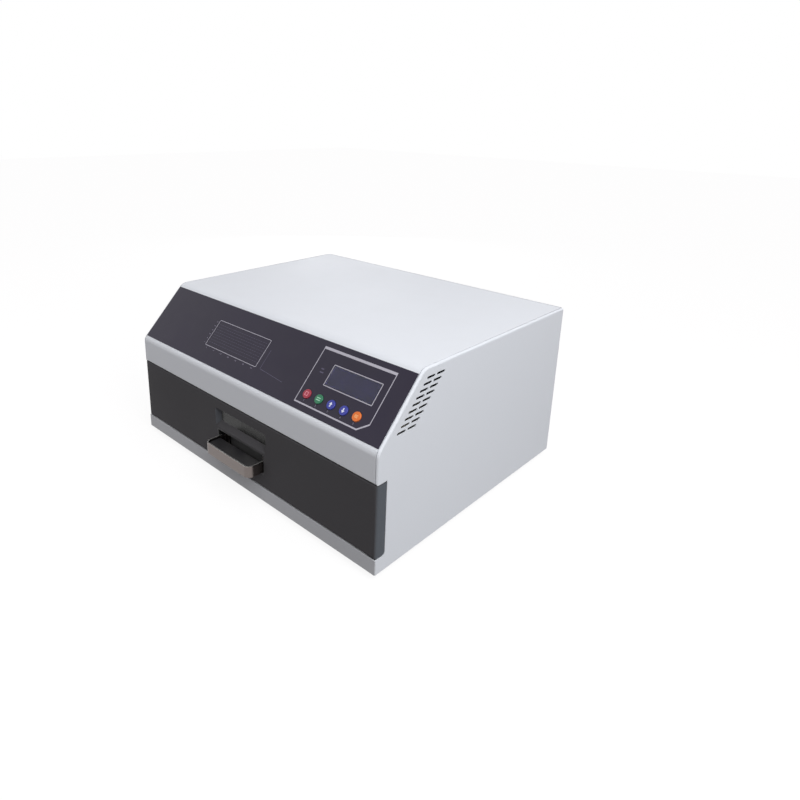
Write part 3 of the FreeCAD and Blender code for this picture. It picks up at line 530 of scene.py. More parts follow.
def makeBrushing():
    tree = makeGroup("brushing", Place=(0, 0, 0), Stretch=(20, 20, 3000))
    drawn = shading(tree, "VectorMath", {0: "Place", 1: "Stretch"}, operation="MULTIPLY")
    lines = noise(tree, drawn, 1.0, 5.0, Roughness=0.65)
    return closeGroup(tree, Tone=lines, Height=lines, Patch=lines)


def facing(tree, way):  # 1 where the surface looks along the given way
    normal = shading(tree, "NewGeometry", None, "Normal")
    return shading(tree, "VectorMath", {0: way, 1: normal}, "Value", operation="DOT_PRODUCT")


# lighter edges: wear, and on the drawer front also a painted highlight
def makeEdgeWear():
    tree = makeGroup("edgeWear", Place=(0, 0, 0), Width=0.001, Amount=0.5)
    edges = ranged(tree, facing(tree, shading(tree, "Bevel", {"Radius": "Width"}, samples=4)), 0.995, 0.80)
    spots = ranged(tree, noise(tree, "Place", 130.0, 6.0), 0.45, 0.68)
    both = maths(tree, "MULTIPLY", edges, spots)
    return closeGroup(tree, Mask=maths(tree, "MULTIPLY", both, "Amount"))


def makeSettledDust():
    tree = makeGroup("settledDust", Place=(0, 0, 0), Amount=0.1)
    thin = ranged(tree, noise(tree, "Place", 40.0, 8.0), 0.42, 0.75)
    both = maths(tree, "MULTIPLY", ranged(tree, facing(tree, (0, 0, 1)), 0.35, 0.95), thin)
    return closeGroup(tree, Mask=maths(tree, "MULTIPLY", both, "Amount"))


def makeSideways():  # painted light: a lighter tone on faces that look along the given way
    tree = makeGroup("sideways", Way=(0, 0, 1))
    return closeGroup(tree, Mask=ranged(tree, maths(tree, "ABSOLUTE", facing(tree, "Way")), 0.4, 0.9))


def makeShelter():  # painted shade: little light finds its way into a narrow space, so the colour is darkened there
    tree = makeGroup("shelter", Reach=0.02, Open=0.80)
    clear = shading(tree, "AmbientOcclusion", {"Distance": "Reach"}, "AO", samples=6)
    return closeGroup(tree, Mask=ranged(tree, clear, "Open", 0.35))


powderGrain, brushing, edgeWear = makePowderGrain(), makeBrushing(), makeEdgeWear()
settledDust, sideways, shelter = makeSettledDust(), makeSideways(), makeShelter()


def linear(color):  # three values are screen tones, four are light values already
    if len(color) == 4:
        return color
    levels = [value / 255 for value in color]
    return (*[v / 12.92 if v < 0.04045 else ((v + 0.055) / 1.055) ** 2.4 for v in levels], 1.0)


def scaled(color, factor):
    return (*[min(1.0, value * factor) for value in color[:3]], 1.0)


def placeGroup(tree, group, **values):
    return shading(tree, "Group", values, None, node_tree=group)


def mixColor(tree, factor, first, second):
    return shading(tree, "Mix", {0: factor, 6: first, 7: second}, 2, data_type="RGBA")


def tinted(tree, tone, color, vary):
    even = ranged(tree, tone, 0.25, 0.75)
    return mixColor(tree, even, scaled(linear(color), 1 - vary), scaled(linear(color), 1 + vary))


def newMaterial(name):
    finishes[name] = bpy.data.materials.new(name)
    finishes[name].use_nodes = True
    tree = finishes[name].node_tree
    return tree, tree.nodes["Principled BSDF"]


def seamMask(tree, place, reach):  # painted shade in the seams of the top, most of all towards the rear
    spot = shading(tree, "SeparateXYZ", {0: place}, None)
    upper = ranged(tree, spot["Z"], topZ - 4 * mm, topZ - 2 * mm)
    held = maths(tree, "MULTIPLY", upper, ranged(tree, spot["Y"], slopeTopY, rearY, 0.2))
    return maths(tree, "MULTIPLY", placeGroup(tree, shelter, Reach=reach * mm, Open=0.62)["Mask"], held)


dustTone = linear((196, 192, 184))


# one row per finish: colour, roughness, spread of tone, grain (or three brush stretches) and its depth in millimetres
def makeFinish(name, color, rough, vary, grain, depth, spread=0.06, metallic=0.0, specular=0.5, speckle=0.3,
        patches=9.0, wearAndHighlight=None, dust=0.0, paintedSeamShade=None, hollow=None, paintedFacingTone=None):
    tree, shader = newMaterial(name)
    place = shading(tree, "TexCoord", None, "Object")
    if isinstance(grain, tuple):
        surface = placeGroup(tree, brushing, Place=place, Stretch=grain)
    else:
        surface = placeGroup(tree, powderGrain, Place=place, Scale=grain, Patches=patches, Speckle=speckle)
    layers = []
    if wearAndHighlight:
        tone, amount, width = wearAndHighlight
        layers.append((placeGroup(tree, edgeWear, Place=place, Width=width * mm, Amount=amount)["Mask"], tone))
    if dust:
        layers.append((placeGroup(tree, settledDust, Place=place, Amount=dust)["Mask"], dustTone))
    if paintedSeamShade:
        layers.append((seamMask(tree, place, paintedSeamShade[0]), paintedSeamShade[1]))
    # painted shade: darker where the surroundings close in
    if hollow:
        layers.append((placeGroup(tree, shelter, Reach=hollow[0] * mm)["Mask"], hollow[1]))
    # painted light: a lighter tone set by the way a face looks
    if paintedFacingTone:
        layers.append((placeGroup(tree, sideways, Way=paintedFacingTone[0])["Mask"], paintedFacingTone[1]))
    base = tinted(tree, surface["Tone"], color, vary)
    for mask, tone in layers:
        base = mixColor(tree, mask, base, linear(tone))
    dull = ranged(tree, surface["Patch"], 0.3, 0.7, max(rough - spread, 0.02), min(rough + spread, 1.0))
    bump = shading(tree, "Bump", {"Height": surface["Height"], "Strength": 0.6, "Distance": depth * mm})
    setSockets(tree, shader, {"Base Color": base, "Roughness": dull, "Normal": bump, "Metallic": metallic,
        "Specular IOR Level": specular})


def makeGlass(name, color, rough, transmission, smear, specular=0.5):
    tree, shader = newMaterial(name)
    place = shading(tree, "TexCoord", None, "Object")
    surface = placeGroup(tree, powderGrain, Place=place, Scale=300.0, Patches=22.0, Speckle=0.2)
    setSockets(tree, shader, {"Base Color": tinted(tree, surface["Tone"], color, 0.04), "Metallic": 0.0,
        "Roughness": ranged(tree, surface["Patch"], 0.4, 0.75, rough, rough + smear),
        "Transmission Weight": transmission, "Specular IOR Level": specular, "IOR": 1.46})


paint = {"wearAndHighlight": ((190, 191, 193), 0.35, 0.8), "dust": 0.03, "specular": 0.16}
bare = {"metallic": 1.0}
# casing paint: painted shade along the top seams, stronger towards the rear
makeFinish("casingPaint", (0.77, 0.785, 0.82, 1), 0.52, 0.012, 1500, 0.012, paintedSeamShade=(2.5, (70, 66, 72)), **paint)
# base pan: the casing paint made darker, painted shade on the low front lip
makeFinish("basePaint", (0.56, 0.565, 0.585, 1), 0.52, 0.012, 1500, 0.012, **paint)
# drawer paint: lighter edges are part wear, part painted highlight along the window recess; side-facing faces get a
# painted lighter, bluer reflection tone
makeFinish("drawerPaint", (0.074, 0.071, 0.075, 1), 0.60, 0.06, 1300, 0.03, wearAndHighlight=((140, 140, 138), 0.4, 0.9),
    dust=0.02, specular=0.05, paintedFacingTone=((1, 0, 0), (0.112, 0.122, 0.136, 1)))
makeFinish("overlayFilm", (0.014, 0.010, 0.025, 1), 0.36, 0.12, 2600, 0.006, spread=0.05, specular=0.33, dust=0.01)
makeFinish("paleInk", (178, 174, 184), 0.5, 0.06, 2500, 0.003)
makeFinish("smallInk", (128, 122, 140), 0.5, 0.10, 2500, 0.003)
makeFinish("faintInk", (76, 71, 92), 0.5, 0.30, 1200, 0.003, speckle=0.2, patches=160)
# pocket plastic: painted shade in the narrow spaces behind the grip
makeFinish("pocketPlastic", (34, 33, 34), 0.55, 0.10, 1100, 0.03, dust=0.05, hollow=(30, (8, 7, 8)))
makeFinish("blackPlastic", (30, 29, 31), 0.48, 0.12, 1000, 0.03, wearAndHighlight=((150, 150, 152), 0.15, 0.6), dust=0.04)
makeFinish("rockerPlastic", (26, 26, 28), 0.28, 0.08, 1200, 0.008)
for name, tone in (("red", (158, 46, 64)), ("green", (38, 116, 80)), ("blue", (52, 58, 150)),
        ("orange", (220, 112, 44))):
    makeFinish(name + "KeyPlastic", tone, 0.38, 0.06, 1600, 0.008)
for name, tone in (("red", (222, 140, 152)), ("green", (168, 214, 186)), ("orange", (248, 190, 130))):
    makeFinish(name + "Mark", tone, 0.5, 0.05, 2000, 0.003)
makeFinish("whiteMark", (226, 228, 240), 0.5, 0.04, 2000, 0.003)
# handle strip: painted highlight on its up-facing edges and painted shade on the faces inside the loop
makeFinish("brushedStrip", (119, 111, 108), 0.34, 0.10, (30, 30, 2600), 0.006, spread=0.08, **bare,
    hollow=(16, (30, 28, 28)), paintedFacingTone=((0, 0, 1), (236, 235, 232)))
makeFinish("brightSheet", (188, 190, 192), 0.34, 0.08, (1800, 40, 40), 0.008, spread=0.08, **bare, dust=0.03)
makeFinish("zincSteel", (178, 180, 184), 0.36, 0.12, 260, 0.008, spread=0.10, **bare, speckle=0.6, patches=40,
    dust=0.04)
makeFinish("blackScrew", (44, 44, 46), 0.42, 0.10, 900, 0.008, metallic=0.8)
makeFinish("screwSteel", (190, 190, 188), 0.30, 0.08, 900, 0.008, **bare, wearAndHighlight=((220, 220, 216), 0.5, 0.3))
makeFinish("reflectorSheet", (206, 206, 204), 0.22, 0.06, (36, 1500, 36), 0.006, spread=0.05, **bare)
makeFinish("motorSteel", (120, 121, 124), 0.42, 0.10, (40, 40, 1500), 0.02, **bare)
makeFinish("brassPins", (206, 176, 112), 0.28, 0.10, (40, 900, 900), 0.02, **bare)
makeFinish("transformerCore", (92, 88, 84), 0.5, 0.18, (30, 1600, 30), 0.02, metallic=0.6)
makeFinish("footRubber", (28, 28, 29), 0.78, 0.16, 700, 0.05, dust=0.12, specular=0.3)
makeFinish("whiteCeramic", (222, 217, 206), 0.55, 0.05, 500, 0.05, dust=0.05)
makeFinish("circuitBoard", (32, 92, 58), 0.42, 0.22, 420, 0.03, speckle=0.8)
makeFinish("displayBody", (38, 38, 42), 0.40, 0.12, 800, 0.02)
makeFinish("lcdFace", (84, 82, 120), 0.22, 0.05, 1800, 0.003)
makeFinish("lcdCell", (81, 79, 116), 0.22, 0.05, 1800, 0.003)
makeFinish("fibreBoard", (214, 206, 188), 0.92, 0.08, 240, 0.25, speckle=0.7, specular=0.2)
makeFinish("sealRope", (196, 190, 176), 0.9, 0.14, 1400, 0.12, speckle=0.8, specular=0.2)
makeFinish("coilWire", (150, 128, 104), 0.42, 0.14, 800, 0.01, **bare)
makeGlass("displayLens", (0.31, 0.30, 0.45, 1), 0.08, 1.0, 0.06, 0.18)
makeGlass("windowGlass", (0.018, 0.017, 0.016, 1), 0.24, 0.75, 0.03, 0.06)
makeGlass("quartzTube", (0.93, 0.92, 0.88, 1), 0.12, 0.92, 0.10)
print("finishes: %d" % len(finishes))


# casing
arrow = [rectangle(-0.8, 0.8, -2.6, 0.3), [(-2.3, 0.3), (2.3, 0.3), (0, 2.9)]]
keyRows = {  # plastic, ink and sign of each key
    "stop_key": ("red", "red", [rectangle(-2.4, 2.4, -2.4, -1.6), rectangle(-2.4, 2.4, 1.6, 2.4),
        rectangle(-2.4, -1.6, -1.58, 1.58), rectangle(1.6, 2.4, -1.58, 1.58)]),
    "start_key": ("green", "green", [rectangle(-2.8, 2.8, 0.7, 1.7), rectangle(-2.8, 2.8, -1.7, -0.7)]),
    "up_key": ("blue", "white", arrow),
    "down_key": ("blue", "white", [[(-u, -v) for u, v in outline] for outline in arrow]),
    "menu_key": ("orange", "orange", [rectangle(-2.2, 2.2, level - 0.3, level + 0.3) for level in (1.2, 0, -1.2)]),
}
keys = lengths(radius=5.5, play=0.35, rise=24.9, proud=1.3, deep=5, brim=7, brimHeight=1, brimPlay=0.05,
    dome=0.7, domeDrop=0.75, flat=1.6, inkSink=0.01)
keyPlaces = [(lowOf[name].x + highOf[name].x) / 2 for name in keyRows]
lensX = (lowOf["display_window"].x, highOf["display_window"].x)
lensRise = (42.2 * mm, 65.7 * mm)


def cutPanel(piece, finish):
    deep, radius = keys["deep"], keys["radius"] + keys["play"]
    hole = built("key_hole", addLathe, [(radius, -deep), (radius, deep)], slopeSpot(keyPlaces[0], keys["rise"]), 40)
    drill(piece, hole, [(x - keyPlaces[0], 0, 0) for x in keyPlaces], finish)
    lens = rounded(rectangle(*lensX, *lensRise), [casing["lensCorner"]] * 4, 3)
    carve(piece, built("lens_hole", addSlab, lens, onSlope, -deep, deep))


def makeTopCover():
    foldY = lowOf["front_frame"].y
    backY = highOf["top_cover"].y
    corners = [(backY, topZ), (slopeTopY, topZ), (frontY, slopeFoot.z), (frontY, bandZ), (foldY, bandZ)]
    outline = sheetOutline(corners, [0, casing["highBend"], casing["lowBend"], casing["foldBend"], 0], sheet, 10)
    piece = built("folded_top_cover", addSlab, outline, alongX, -coverX, coverX)
    cutPanel(piece, "casingPaint")
    dress(bevelEdges(piece, 0.3), "casingPaint", "top_cover")


# side panels, lofted from the inner flange round the rolled rim to the flat outer face
vents = {"rows": 9, "columns": 2, "roundness": 0.998,
    **lengths(length=14, height=3.2, start=31.8, step=8.11, inset=16.5, columnStep=16.6)}


def sideOutline(inset, lift):
    corners = [(frontY, baseZ), (rearY, baseZ), (rearY, topZ), (slopeTopY, topZ), (frontY, slopeFoot.z)]
    radii = [max(casing[bend] - inset, casing["leastRadius"]) for bend in ("rimRadius", "highBend", "lowBend")]
    return rounded(shifted(corners, [lift] + [inset] * 4), [0, 0] + radii, 8)


def ventPoints():
    points = []
    for row in range(vents["rows"]):
        spot = onSlope(0, vents["start"] + row * vents["step"], -vents["inset"])
        points += [(0, spot.y + column * vents["columnStep"], spot.z) for column in range(vents["columns"])]
    return points


def makeSidePanel(name, side):
    rim, deep = casing["rimRadius"], casing["seamDepth"]
    inner, inside, foot = sideX - casing["rimWidth"], sideX - sheet, deep + sheet
    flangeX = lowOf["right_side_panel"].x
    levels = [(sideX - rim * (1 - c), rim * (1 - s), 0) for c, s in arc(pi / 2, 6)]
    steps = [(inner, 0), (inner, deep), (coverX, deep), (coverX, sheet), (flangeX, sheet), (flangeX, 2 * sheet),
        (coverX - sheet, 2 * sheet), (coverX - sheet, foot), (inside, foot)]
    levels += [(x, inset, inset) for x, inset in steps]
    rings = [[(side * x, y, z) for y, z in sideOutline(inset, lift)] for x, inset, lift in levels]
    piece = built("rolled_" + name, addLoft, rings)
    spill = 5 * mm
    skim = 0.02 * mm  # keeps the cuts off the sheet's own planes
    cuts = [(inside + skim, rearY - foot - skim, bandZ + sheet),
        (inside + 2 * skim, rearY + spill, baseZ + foot + skim), (sideX + spill, frontY + sheet, lipZ + sheet)]
    for x, y, z in cuts:
        ends = sorted((0, side * x))
        carve(piece, built("notch", addBox, (ends[0], frontY - spill, baseZ - spill), (ends[1], y, z)))
    notchY = highOf["drawer_front"].y + casing["notchPlay"]
    opening = rounded(rectangle(frontY - spill, notchY, lipZ, bandZ), [0, casing["notchCorner"], 0, 0])
    carve(piece, built("drawer_opening", addSlab, opening, alongX, *sorted((0, side * (sideX + spill)))))
    long, tall = vents["length"] / 2, vents["height"] / 2
    slot = rounded(rectangle(-long, long, -tall, tall), [vents["roundness"] * tall] * 4, 4)
    ends = sorted((side * (inside - spill / 2), side * (sideX + spill / 2)))
    drill(piece, built("vent_slot", addSlab, slot, alongX, *ends), ventPoints(), "casingPaint")
    dress(bevelEdges(piece, 0.2), "casingPaint", name)


makeTopCover()
makeSidePanel("right_side_panel", 1)
makeSidePanel("left_side_panel", -1)
soften("base_pan", "basePaint", 0.4, 3)
soften("rear_panel", "casingPaint", 0.25)
print("casing: folded cover, rolled side panels, base pan, rear panel")


# control panel
def makeOverlay():
    outline = rounded(rectangle(-coverX, coverX, filmLow, filmHigh), [casing["filmCorner"]] * 4, 3)
    piece = built("panel_film", addSlab, outline, onSlope, 0, film)
    cutPanel(piece, "overlayFilm")
    dress(bevelEdges(piece, 0.12), "overlayFilm", "control_overlay")


inkHeight = 0.05 * mm
ink = {  # millimetres on the sloping face
    "controlCorners": [(93.4, 12.2), (188.4, 12.2), (200.8, 22.3), (200.8, 83.3), (93.4, 83.3)],
    "controlWidths": [1.7, 1.7, 0.95, 3.1, 0.95],
    "lensBorder": 0.95, "lensGap": 0.5, "lensCorner": 1.2,
    "chartBox": (-96.3, 10.7, 27.9, 66.0), "chartCorner": 1.6, "chartLine": 0.65,
    "digitHeight": 2.3, "sideDigits": (-4, 3, 6.2), "footDigits": (6, -3, 15.8),
    "keyDigitHeight": 3.4, "keyDigitRise": 17.0,
    "faintMarks": [rectangle(104.9, 109.3, 56.8, 58.2), rectangle(105.2, 110.8, 52.6, 54.0),
        rectangle(18.7, 19.3, 28.6, 54.4), [(19.3, 28.2), (62.5, 24.7), (62.5, 25.3), (19.3, 28.8)]],
}
chartCells = {"columns": 21, "rows": 8, **lengths(width=3.4, height=0.35, margin=6)}
displayCells = {"columns": 20, "rows": 4, **lengths(width=2.5, height=4.0, margin=4)}
display = lengths(play=0.1, lensLow=-0.6, glassLow=-1.15, glassHigh=-0.75, cellHigh=-0.72)


def addInk(bm, outline, base=film):
    addSlab(bm, outline, onSlope, base, base + inkHeight)


def addInkRing(bm, corners, widths, radius=0.0):
    corners = [Vector(corner) * mm for corner in corners]
    inside = shifted(corners, [width * mm for width in widths])
    outer = rounded(corners, [radius * mm] * len(corners), 4)
    inner = rounded(inside, [max(radius - min(widths), 0.0) * mm] * len(corners), 4)
    top = film + inkHeight
    levels = ((outer, film), (outer, top), (inner, top), (inner, film))
    addLoft(bm, [[onSlope(u, v, level) for u, v in outline] for outline, level in levels], True)


def addDigits(bm, text, height, place):
    curve = bpy.data.curves.new("digits", "FONT")
    curve.body = text
    curve.align_x = curve.align_y = "CENTER"
    curve.resolution_u = 3
    curve.extrude = 0.5 * inkHeight / height
    holder = addObject("digits", curve)
    mesh = finishedMesh(holder)
    for vertex in mesh.vertices:
        u, v, w = vertex.co * height
        vertex.co = place(u, v, w + 0.5 * inkHeight)
    bm.from_mesh(mesh)
    bpy.data.objects.remove(holder)
    bpy.data.meshes.remove(mesh)


def makeCells(name, finish, node, cell, box, low, high):
    wide, tall, margin = cell["width"] / 2, cell["height"] / 2, cell["margin"]
    shape = built("cell", addSlab, rectangle(-wide, wide, -tall, tall), alongZ, low, high)
    piece = spread(name, dashRows, finish, shape, Width=box[1] - box[0] - 2 * margin,
        Height=box[3] - box[2] - 2 * margin, Columns=cell["columns"], Rows=cell["rows"])
    place = slopeSpot((box[0] + box[1]) / 2, (box[2] + box[3]) / 2)
    for vertex in piece.data.vertices:
        vertex.co = place(*vertex.co)
    dress(piece, finish, node, False)


def makePanelPrint():
    chart = ink["chartBox"]
    lens = rectangle(*[edge / mm for edge in (*lensX, *lensRise)], -ink["lensGap"] - ink["lensBorder"])
    bm = bmesh.new()
    addInkRing(bm, ink["controlCorners"], ink["controlWidths"])
    addInkRing(bm, lens, [ink["lensBorder"]] * 4, ink["lensCorner"])
    addInkRing(bm, rectangle(*chart), [ink["chartLine"]] * 4, ink["chartCorner"])
    dress(newPiece("panel_print", bm), "paleInk", "control_overlay", False)
    rows = [(index + 1, ink["keyDigitHeight"], x / mm, ink["keyDigitRise"]) for index, x in enumerate(keyPlaces)]
    tall = ink["digitHeight"]
    across, up, step = ink["sideDigits"]
    rows += [(50 * level, tall, chart[0] + across, chart[2] + up + level * step) for level in range(6)]
    across, up, step = ink["footDigits"]
    rows += [(60 * column, tall, chart[0] + across + column * step, chart[2] + up) for column in range(7)]
    bm = bmesh.new()
    for number, height, x, rise in rows:
        addDigits(bm, str(number), height * mm, slopeSpot(x * mm, rise * mm, film))
    dress(newPiece("small_digits", bm), "smallInk", "control_overlay", False)
    bm = bmesh.new()
    for outline in ink["faintMarks"]:
        addInk(bm, [Vector(corner) * mm for corner in outline])
    dress(newPiece("faint_print", bm), "faintInk", "control_overlay", False)
    makeCells("chart_rows", "faintInk", "control_overlay", chartCells, [edge * mm for edge in chart], film,
        film + inkHeight)


def makeDisplay():
    play, glassHigh = display["play"], display["glassHigh"]
    edges = rectangle(*lensX, *lensRise, play)
    outline = rounded(edges, [casing["lensCorner"]] * 4, 3)
    lens = built("display_lens", addSlab, outline, onSlope, display["lensLow"], film)
    dress(bevelEdges(lens, 0.15), "displayLens", "display_window")
    glass = built("display_glass", addSlab, edges, onSlope, display["glassLow"], glassHigh)
    dress(glass, "lcdFace", "display_module", False)
    makeCells("display_cells", "lcdCell", "display_module", displayCells, (*lensX, *lensRise), glassHigh,
        display["cellHigh"])


def makeKeys():
    radius, rise = keys["radius"], keys["rise"]
    top, under = film + keys["proud"], -sheet - keys["brimPlay"]
    shoulder = top - keys["domeDrop"]
    profile = [(keys["brim"], under - keys["brimHeight"]), (keys["brim"], under), (radius, under), (radius, shoulder)]
    dome = keys["dome"]
    profile += [(radius - dome * (1 - c), shoulder + dome * s) for c, s in arc(pi / 2, 5, 1)]
    profile.append((radius - keys["flat"], top))
    for (name, (plastic, mark, outlines)), x in zip(keyRows.items(), keyPlaces):
        cap = built("domed_" + name, addLathe, profile, slopeSpot(x, rise), 48)
        dress(cap, plastic + "KeyPlastic", name)
        bm = bmesh.new()
        for outline in outlines:
            addInk(bm, [(x + u * mm, rise + v * mm) for u, v in outline], top - keys["inkSink"])
        dress(newPiece("mark_" + name, bm), mark + "Mark", name, False)


makeOverlay()
makePanelPrint()
makeDisplay()
makeKeys()
soften("display_module", "displayBody")
soften("control_board", "circuitBoard", 0.15)
soften("board_standoffs", "zincSteel", 0.2)
print("control panel: film, print, display, five keys")


# drawer front, lofted from the face round its rolled edges to the open back
drawer = {
    **lengths(corner=4, edge=1.5, pocketReach=2),
    "windowOuter": (51, 46.75, 72.75), "windowInner": (45, 54.25, 68.75), "windowDepth": 5.5, "windowCorner": 2.0,
    "wallStart": 0.4, "wall": 1.2, "spill": 1.0,
}


def roundGap(radius, depth):
    return radius - sqrt(radius * radius - (radius - depth) ** 2) if depth < radius else 0.0


def windowFrustum(name, start, end, grow):
    rings = []
    for depth in (start, end):
        share = depth / drawer["windowDepth"]
        half, bottom, top = [a + (b - a) * share for a, b in zip(drawer["windowOuter"], drawer["windowInner"])]
        outline = rounded(rectangle(-half, half, bottom, top, -grow), [drawer["windowCorner"]] * 4, 4)
        rings.append([(x * mm, frontY + depth * mm, lowOf["drawer_front"].z + z * mm) for x, z in outline])
    return built(name, addLoft, rings)


def makeDrawerFront():
    low, high = boxOf["drawer_front"]
    corner, edge = drawer["corner"], drawer["edge"]
    depths = [edge * (1 - c) for c, s in arc(pi / 2, 5)] + [corner * (1 - c) for c, s in arc(pi / 2, 8, 5)]
    levels = [(low.y + depth, roundGap(corner, depth), roundGap(edge, depth)) for depth in depths]
    levels += [(high.y, 0, 0), (high.y, sheet, sheet), (low.y + sheet, sheet, sheet)]
    rings = [[alongY(u, v, y) for u, v in rectangle(low.x + sideGap, high.x - sideGap, low.z + gap, high.z - gap)]
        for y, sideGap, gap in levels]
    piece = built("pressed_drawer_front", addLoft, rings)
    depth, spill = drawer["windowDepth"], drawer["spill"]
    carve(piece, windowFrustum("window_walls", drawer["wallStart"], depth, drawer["wall"]), "UNION")
    carve(piece, windowFrustum("window_hollow", -spill, depth + spill, 0.0))
    near, far = boxOf["handle_pocket"]
    outline = rectangle(near.x, far.x, near.z, far.z)
    carve(piece, built("pocket_hole", addSlab, outline, alongY, low.y - drawer["pocketReach"], high.y))
    turn = casing["notchCorner"]
    bend = rounded(rectangle(high.y - turn, high.y, low.z, low.z + turn), [0, turn, 0, 0])[1:-2]
    outline = bend + [(high.y + turn, low.z + turn), (high.y + turn, low.z - turn), (high.y - turn, low.z - turn)]
    for side in (-1, 1):  # the returns' lower rear corners follow the rounded notches
        ends = sorted((side * (high.x - 1.5 * sheet), side * (high.x + sheet)))
        carve(piece, built("return_corner", addSlab, outline, alongX, *ends))
    dress(bevelEdges(piece, 0.45, 3), "drawerPaint", "drawer_front")


handle = lengths(strip=2, bend=8.5, foot=2.6, tab=11, gripCorner=6.7, gripRear=1.5)


def makeHandle():
    low, high = boxOf["drawer_handle"]
    inner, bend, foot = high.x - handle["tab"], handle["bend"], handle["foot"]
    corners = [(-inner, high.y), (low.x, high.y), (low.x, low.y), (high.x, low.y), (high.x, high.y), (inner, high.y)]
    outline = sheetOutline(corners, [0, foot, bend, bend, foot, 0], handle["strip"], 8)
    strip = built("bent_handle_strip", addSlab, outline, alongZ, low.z, high.z)
    dress(bevelEdges(strip, 0.35), "brushedStrip", "drawer_handle")
    low, high = boxOf["handle_grip"]
    radii = [handle["gripCorner"]] * 2 + [handle["gripRear"]] * 2
    outline = rounded(rectangle(low.x, high.x, low.y, high.y), radii, 8)
    grip = built("moulded_grip", addSlab, outline, alongZ, low.z, high.z)
    dress(bevelEdges(grip, 1.2, 4, 50), "blackPlastic", "handle_grip")


seal = {"lobes": 3, "swell": 0.10, "rings": 420, "section": 18, **lengths(corner=7, twist=42, halfWide=3)}


def makeDoorSeal():
    low, high = boxOf["door_seal"]
    wide, deep, count = seal["halfWide"], (high.y - low.y) / 2, seal["rings"]
    path = rounded(rectangle(low.x, high.x, low.z, high.z, wide), [seal["corner"]] * 4, 10)
    ends = path[1:] + path[:1]
    spans = [(end - start).length for start, end in zip(path, ends)]
    total = sum(spans)
    turns = round(total / seal["twist"])
    rings = []
    for step in range(count):
        left, index = total * step / count, 0
        while left > spans[index]:
            left -= spans[index]
            index += 1
        ahead = (ends[index] - path[index]).normalized()
        centre = path[index] + ahead * left
        ring = []
        for part in range(seal["section"]):
            angle = 2 * pi * part / seal["section"]
            wave = cos(seal["lobes"] * angle + 2 * pi * turns * step / count)
            swell = 1 + seal["swell"] * (wave - 1)
            spot = centre + Vector((-ahead.y, ahead.x)) * (wide * swell * cos(angle))
            ring.append(alongY(*spot, (low.y + high.y) / 2 + deep * swell * sin(angle)))
        rings.append(ring)
    dress(built("rope_seal", addLoft, rings, True), "sealRope", "door_seal", sharp=80)


makeDrawerFront()
makeHandle()
makeDoorSeal()
soften("handle_pocket", "pocketPlastic", 0.5, 3)
soften("drawer_inner_panel", "brightSheet")
soften("viewing_window", "windowGlass", 0.4)
soften("window_seal", "footRubber")
soften("handle_screws", "blackScrew", 0.2)
print("drawer: front, handle, grip, window, seal")


# tray, slides and their balls
tray = lengths(pitch=9, wire=0.45, border=0.75, corner=4, ball=0.74, ballPitch=9, cage=0.5)


def makeTrayMesh():
    low, high = boxOf["tray_mesh"]
    border, wire, pitch = tray["border"], tray["wire"], tray["pitch"]
    across, along = high.x - low.x - 2 * border, high.y - low.y - 2 * border
    grid = runTree(built("grid", addPoints, []), wireGrid, "zincSteel", Across=across, Along=along, Wire=wire,
        Corner=Vector((low.x + border, low.y + border, low.z + wire)), Layer=high.z - low.z - 2 * wire,
        Columns=round(across / pitch) + 1, Rows=round(along / pitch) + 1)
    path = rounded(rectangle(low.x, high.x, low.y, high.y, border), [tray["corner"]] * 4, 6)
    level, circle = (low.z + high.z) / 2, arc(2 * pi, 10)[:-1]
    rings = []
    for index, point in enumerate(path):
        ahead = (path[(index + 1) % len(path)] - path[index - 1]).normalized()
        side = Vector((-ahead.y, ahead.x)) * border
        rings.append([(*(point + side * c), level + border * s) for c, s in circle])
    piece = joinPieces("welded_tray_mesh", grid, built("tray_border", addLoft, rings, True))
    dress(piece, "zincSteel", "tray_mesh")


def makeBallRows(name):
    bm = bmesh.new()
    points = []
    for low, high in islands(name):
        middle, cage, length = (low + high) / 2, tray["cage"] / 2, high.y - low.y
        addBox(bm, (low.x, low.y, middle.z - cage), (high.x, high.y, middle.z + cage))
        count = int(length / tray["ballPitch"])
        points += [(middle.x, low.y + (index + 0.5) * length / count, middle.z) for index in range(count)]
    cages = newPiece("cages", bm)
    ball = built("ball", bmesh.ops.create_icosphere, subdivisions=2, radius=tray["ball"])
    piece = joinPieces("caged_" + name, cages, spread("balls", setOut, "zincSteel", ball, points))
    dress(piece, "zincSteel", name)


makeTrayMesh()
soften("tray_frame", "brightSheet", 0.35)
for side in ("left", "right"):
    makeBallRows(side + "_ball_retainer")
    for rail in ("cabinet", "middle", "drawer"):
        soften(side + "_" + rail + "_rail", "zincSteel")
soften("rail_screws", "screwSteel", 0.2)
print("tray: welded mesh, three-part slides, ball rows")


# oven chamber
heater = lengths(wall=1.0, edge=0.3, coilRadius=2.7, coilWire=0.35, coilPitch=3.2)


def makeHeaters():
    tubes = islands("heater_tubes")
    low, high = tubes[0]
    radius, length, edge = (high.z - low.z) / 2, high.x - low.x, heater["edge"]
    inner = radius - heater["wall"]
    half = [(inner, 0), (radius - edge, 0), (radius, edge)]
    profile = half + [(r, length - h) for r, h in half[::-1]]
    tube = built("quartz_tube", addLathe, profile, alongX, 32, True)
    starts = [(a.x, (a.y + b.y) / 2, (a.z + b.z) / 2) for a, b in tubes]
    dress(spread("quartz_heaters", setOut, "quartzTube", tube, starts), "quartzTube", "heater_tubes")
    coils = runTree(built("heater_coils", addPoints, starts), heaterCoil, "coilWire", Length=length,
        Turns=length / heater["coilPitch"], Radius=heater["coilRadius"], Wire=heater["coilWire"])
    dress(coils, "coilWire", "heater_tubes", False, 80)


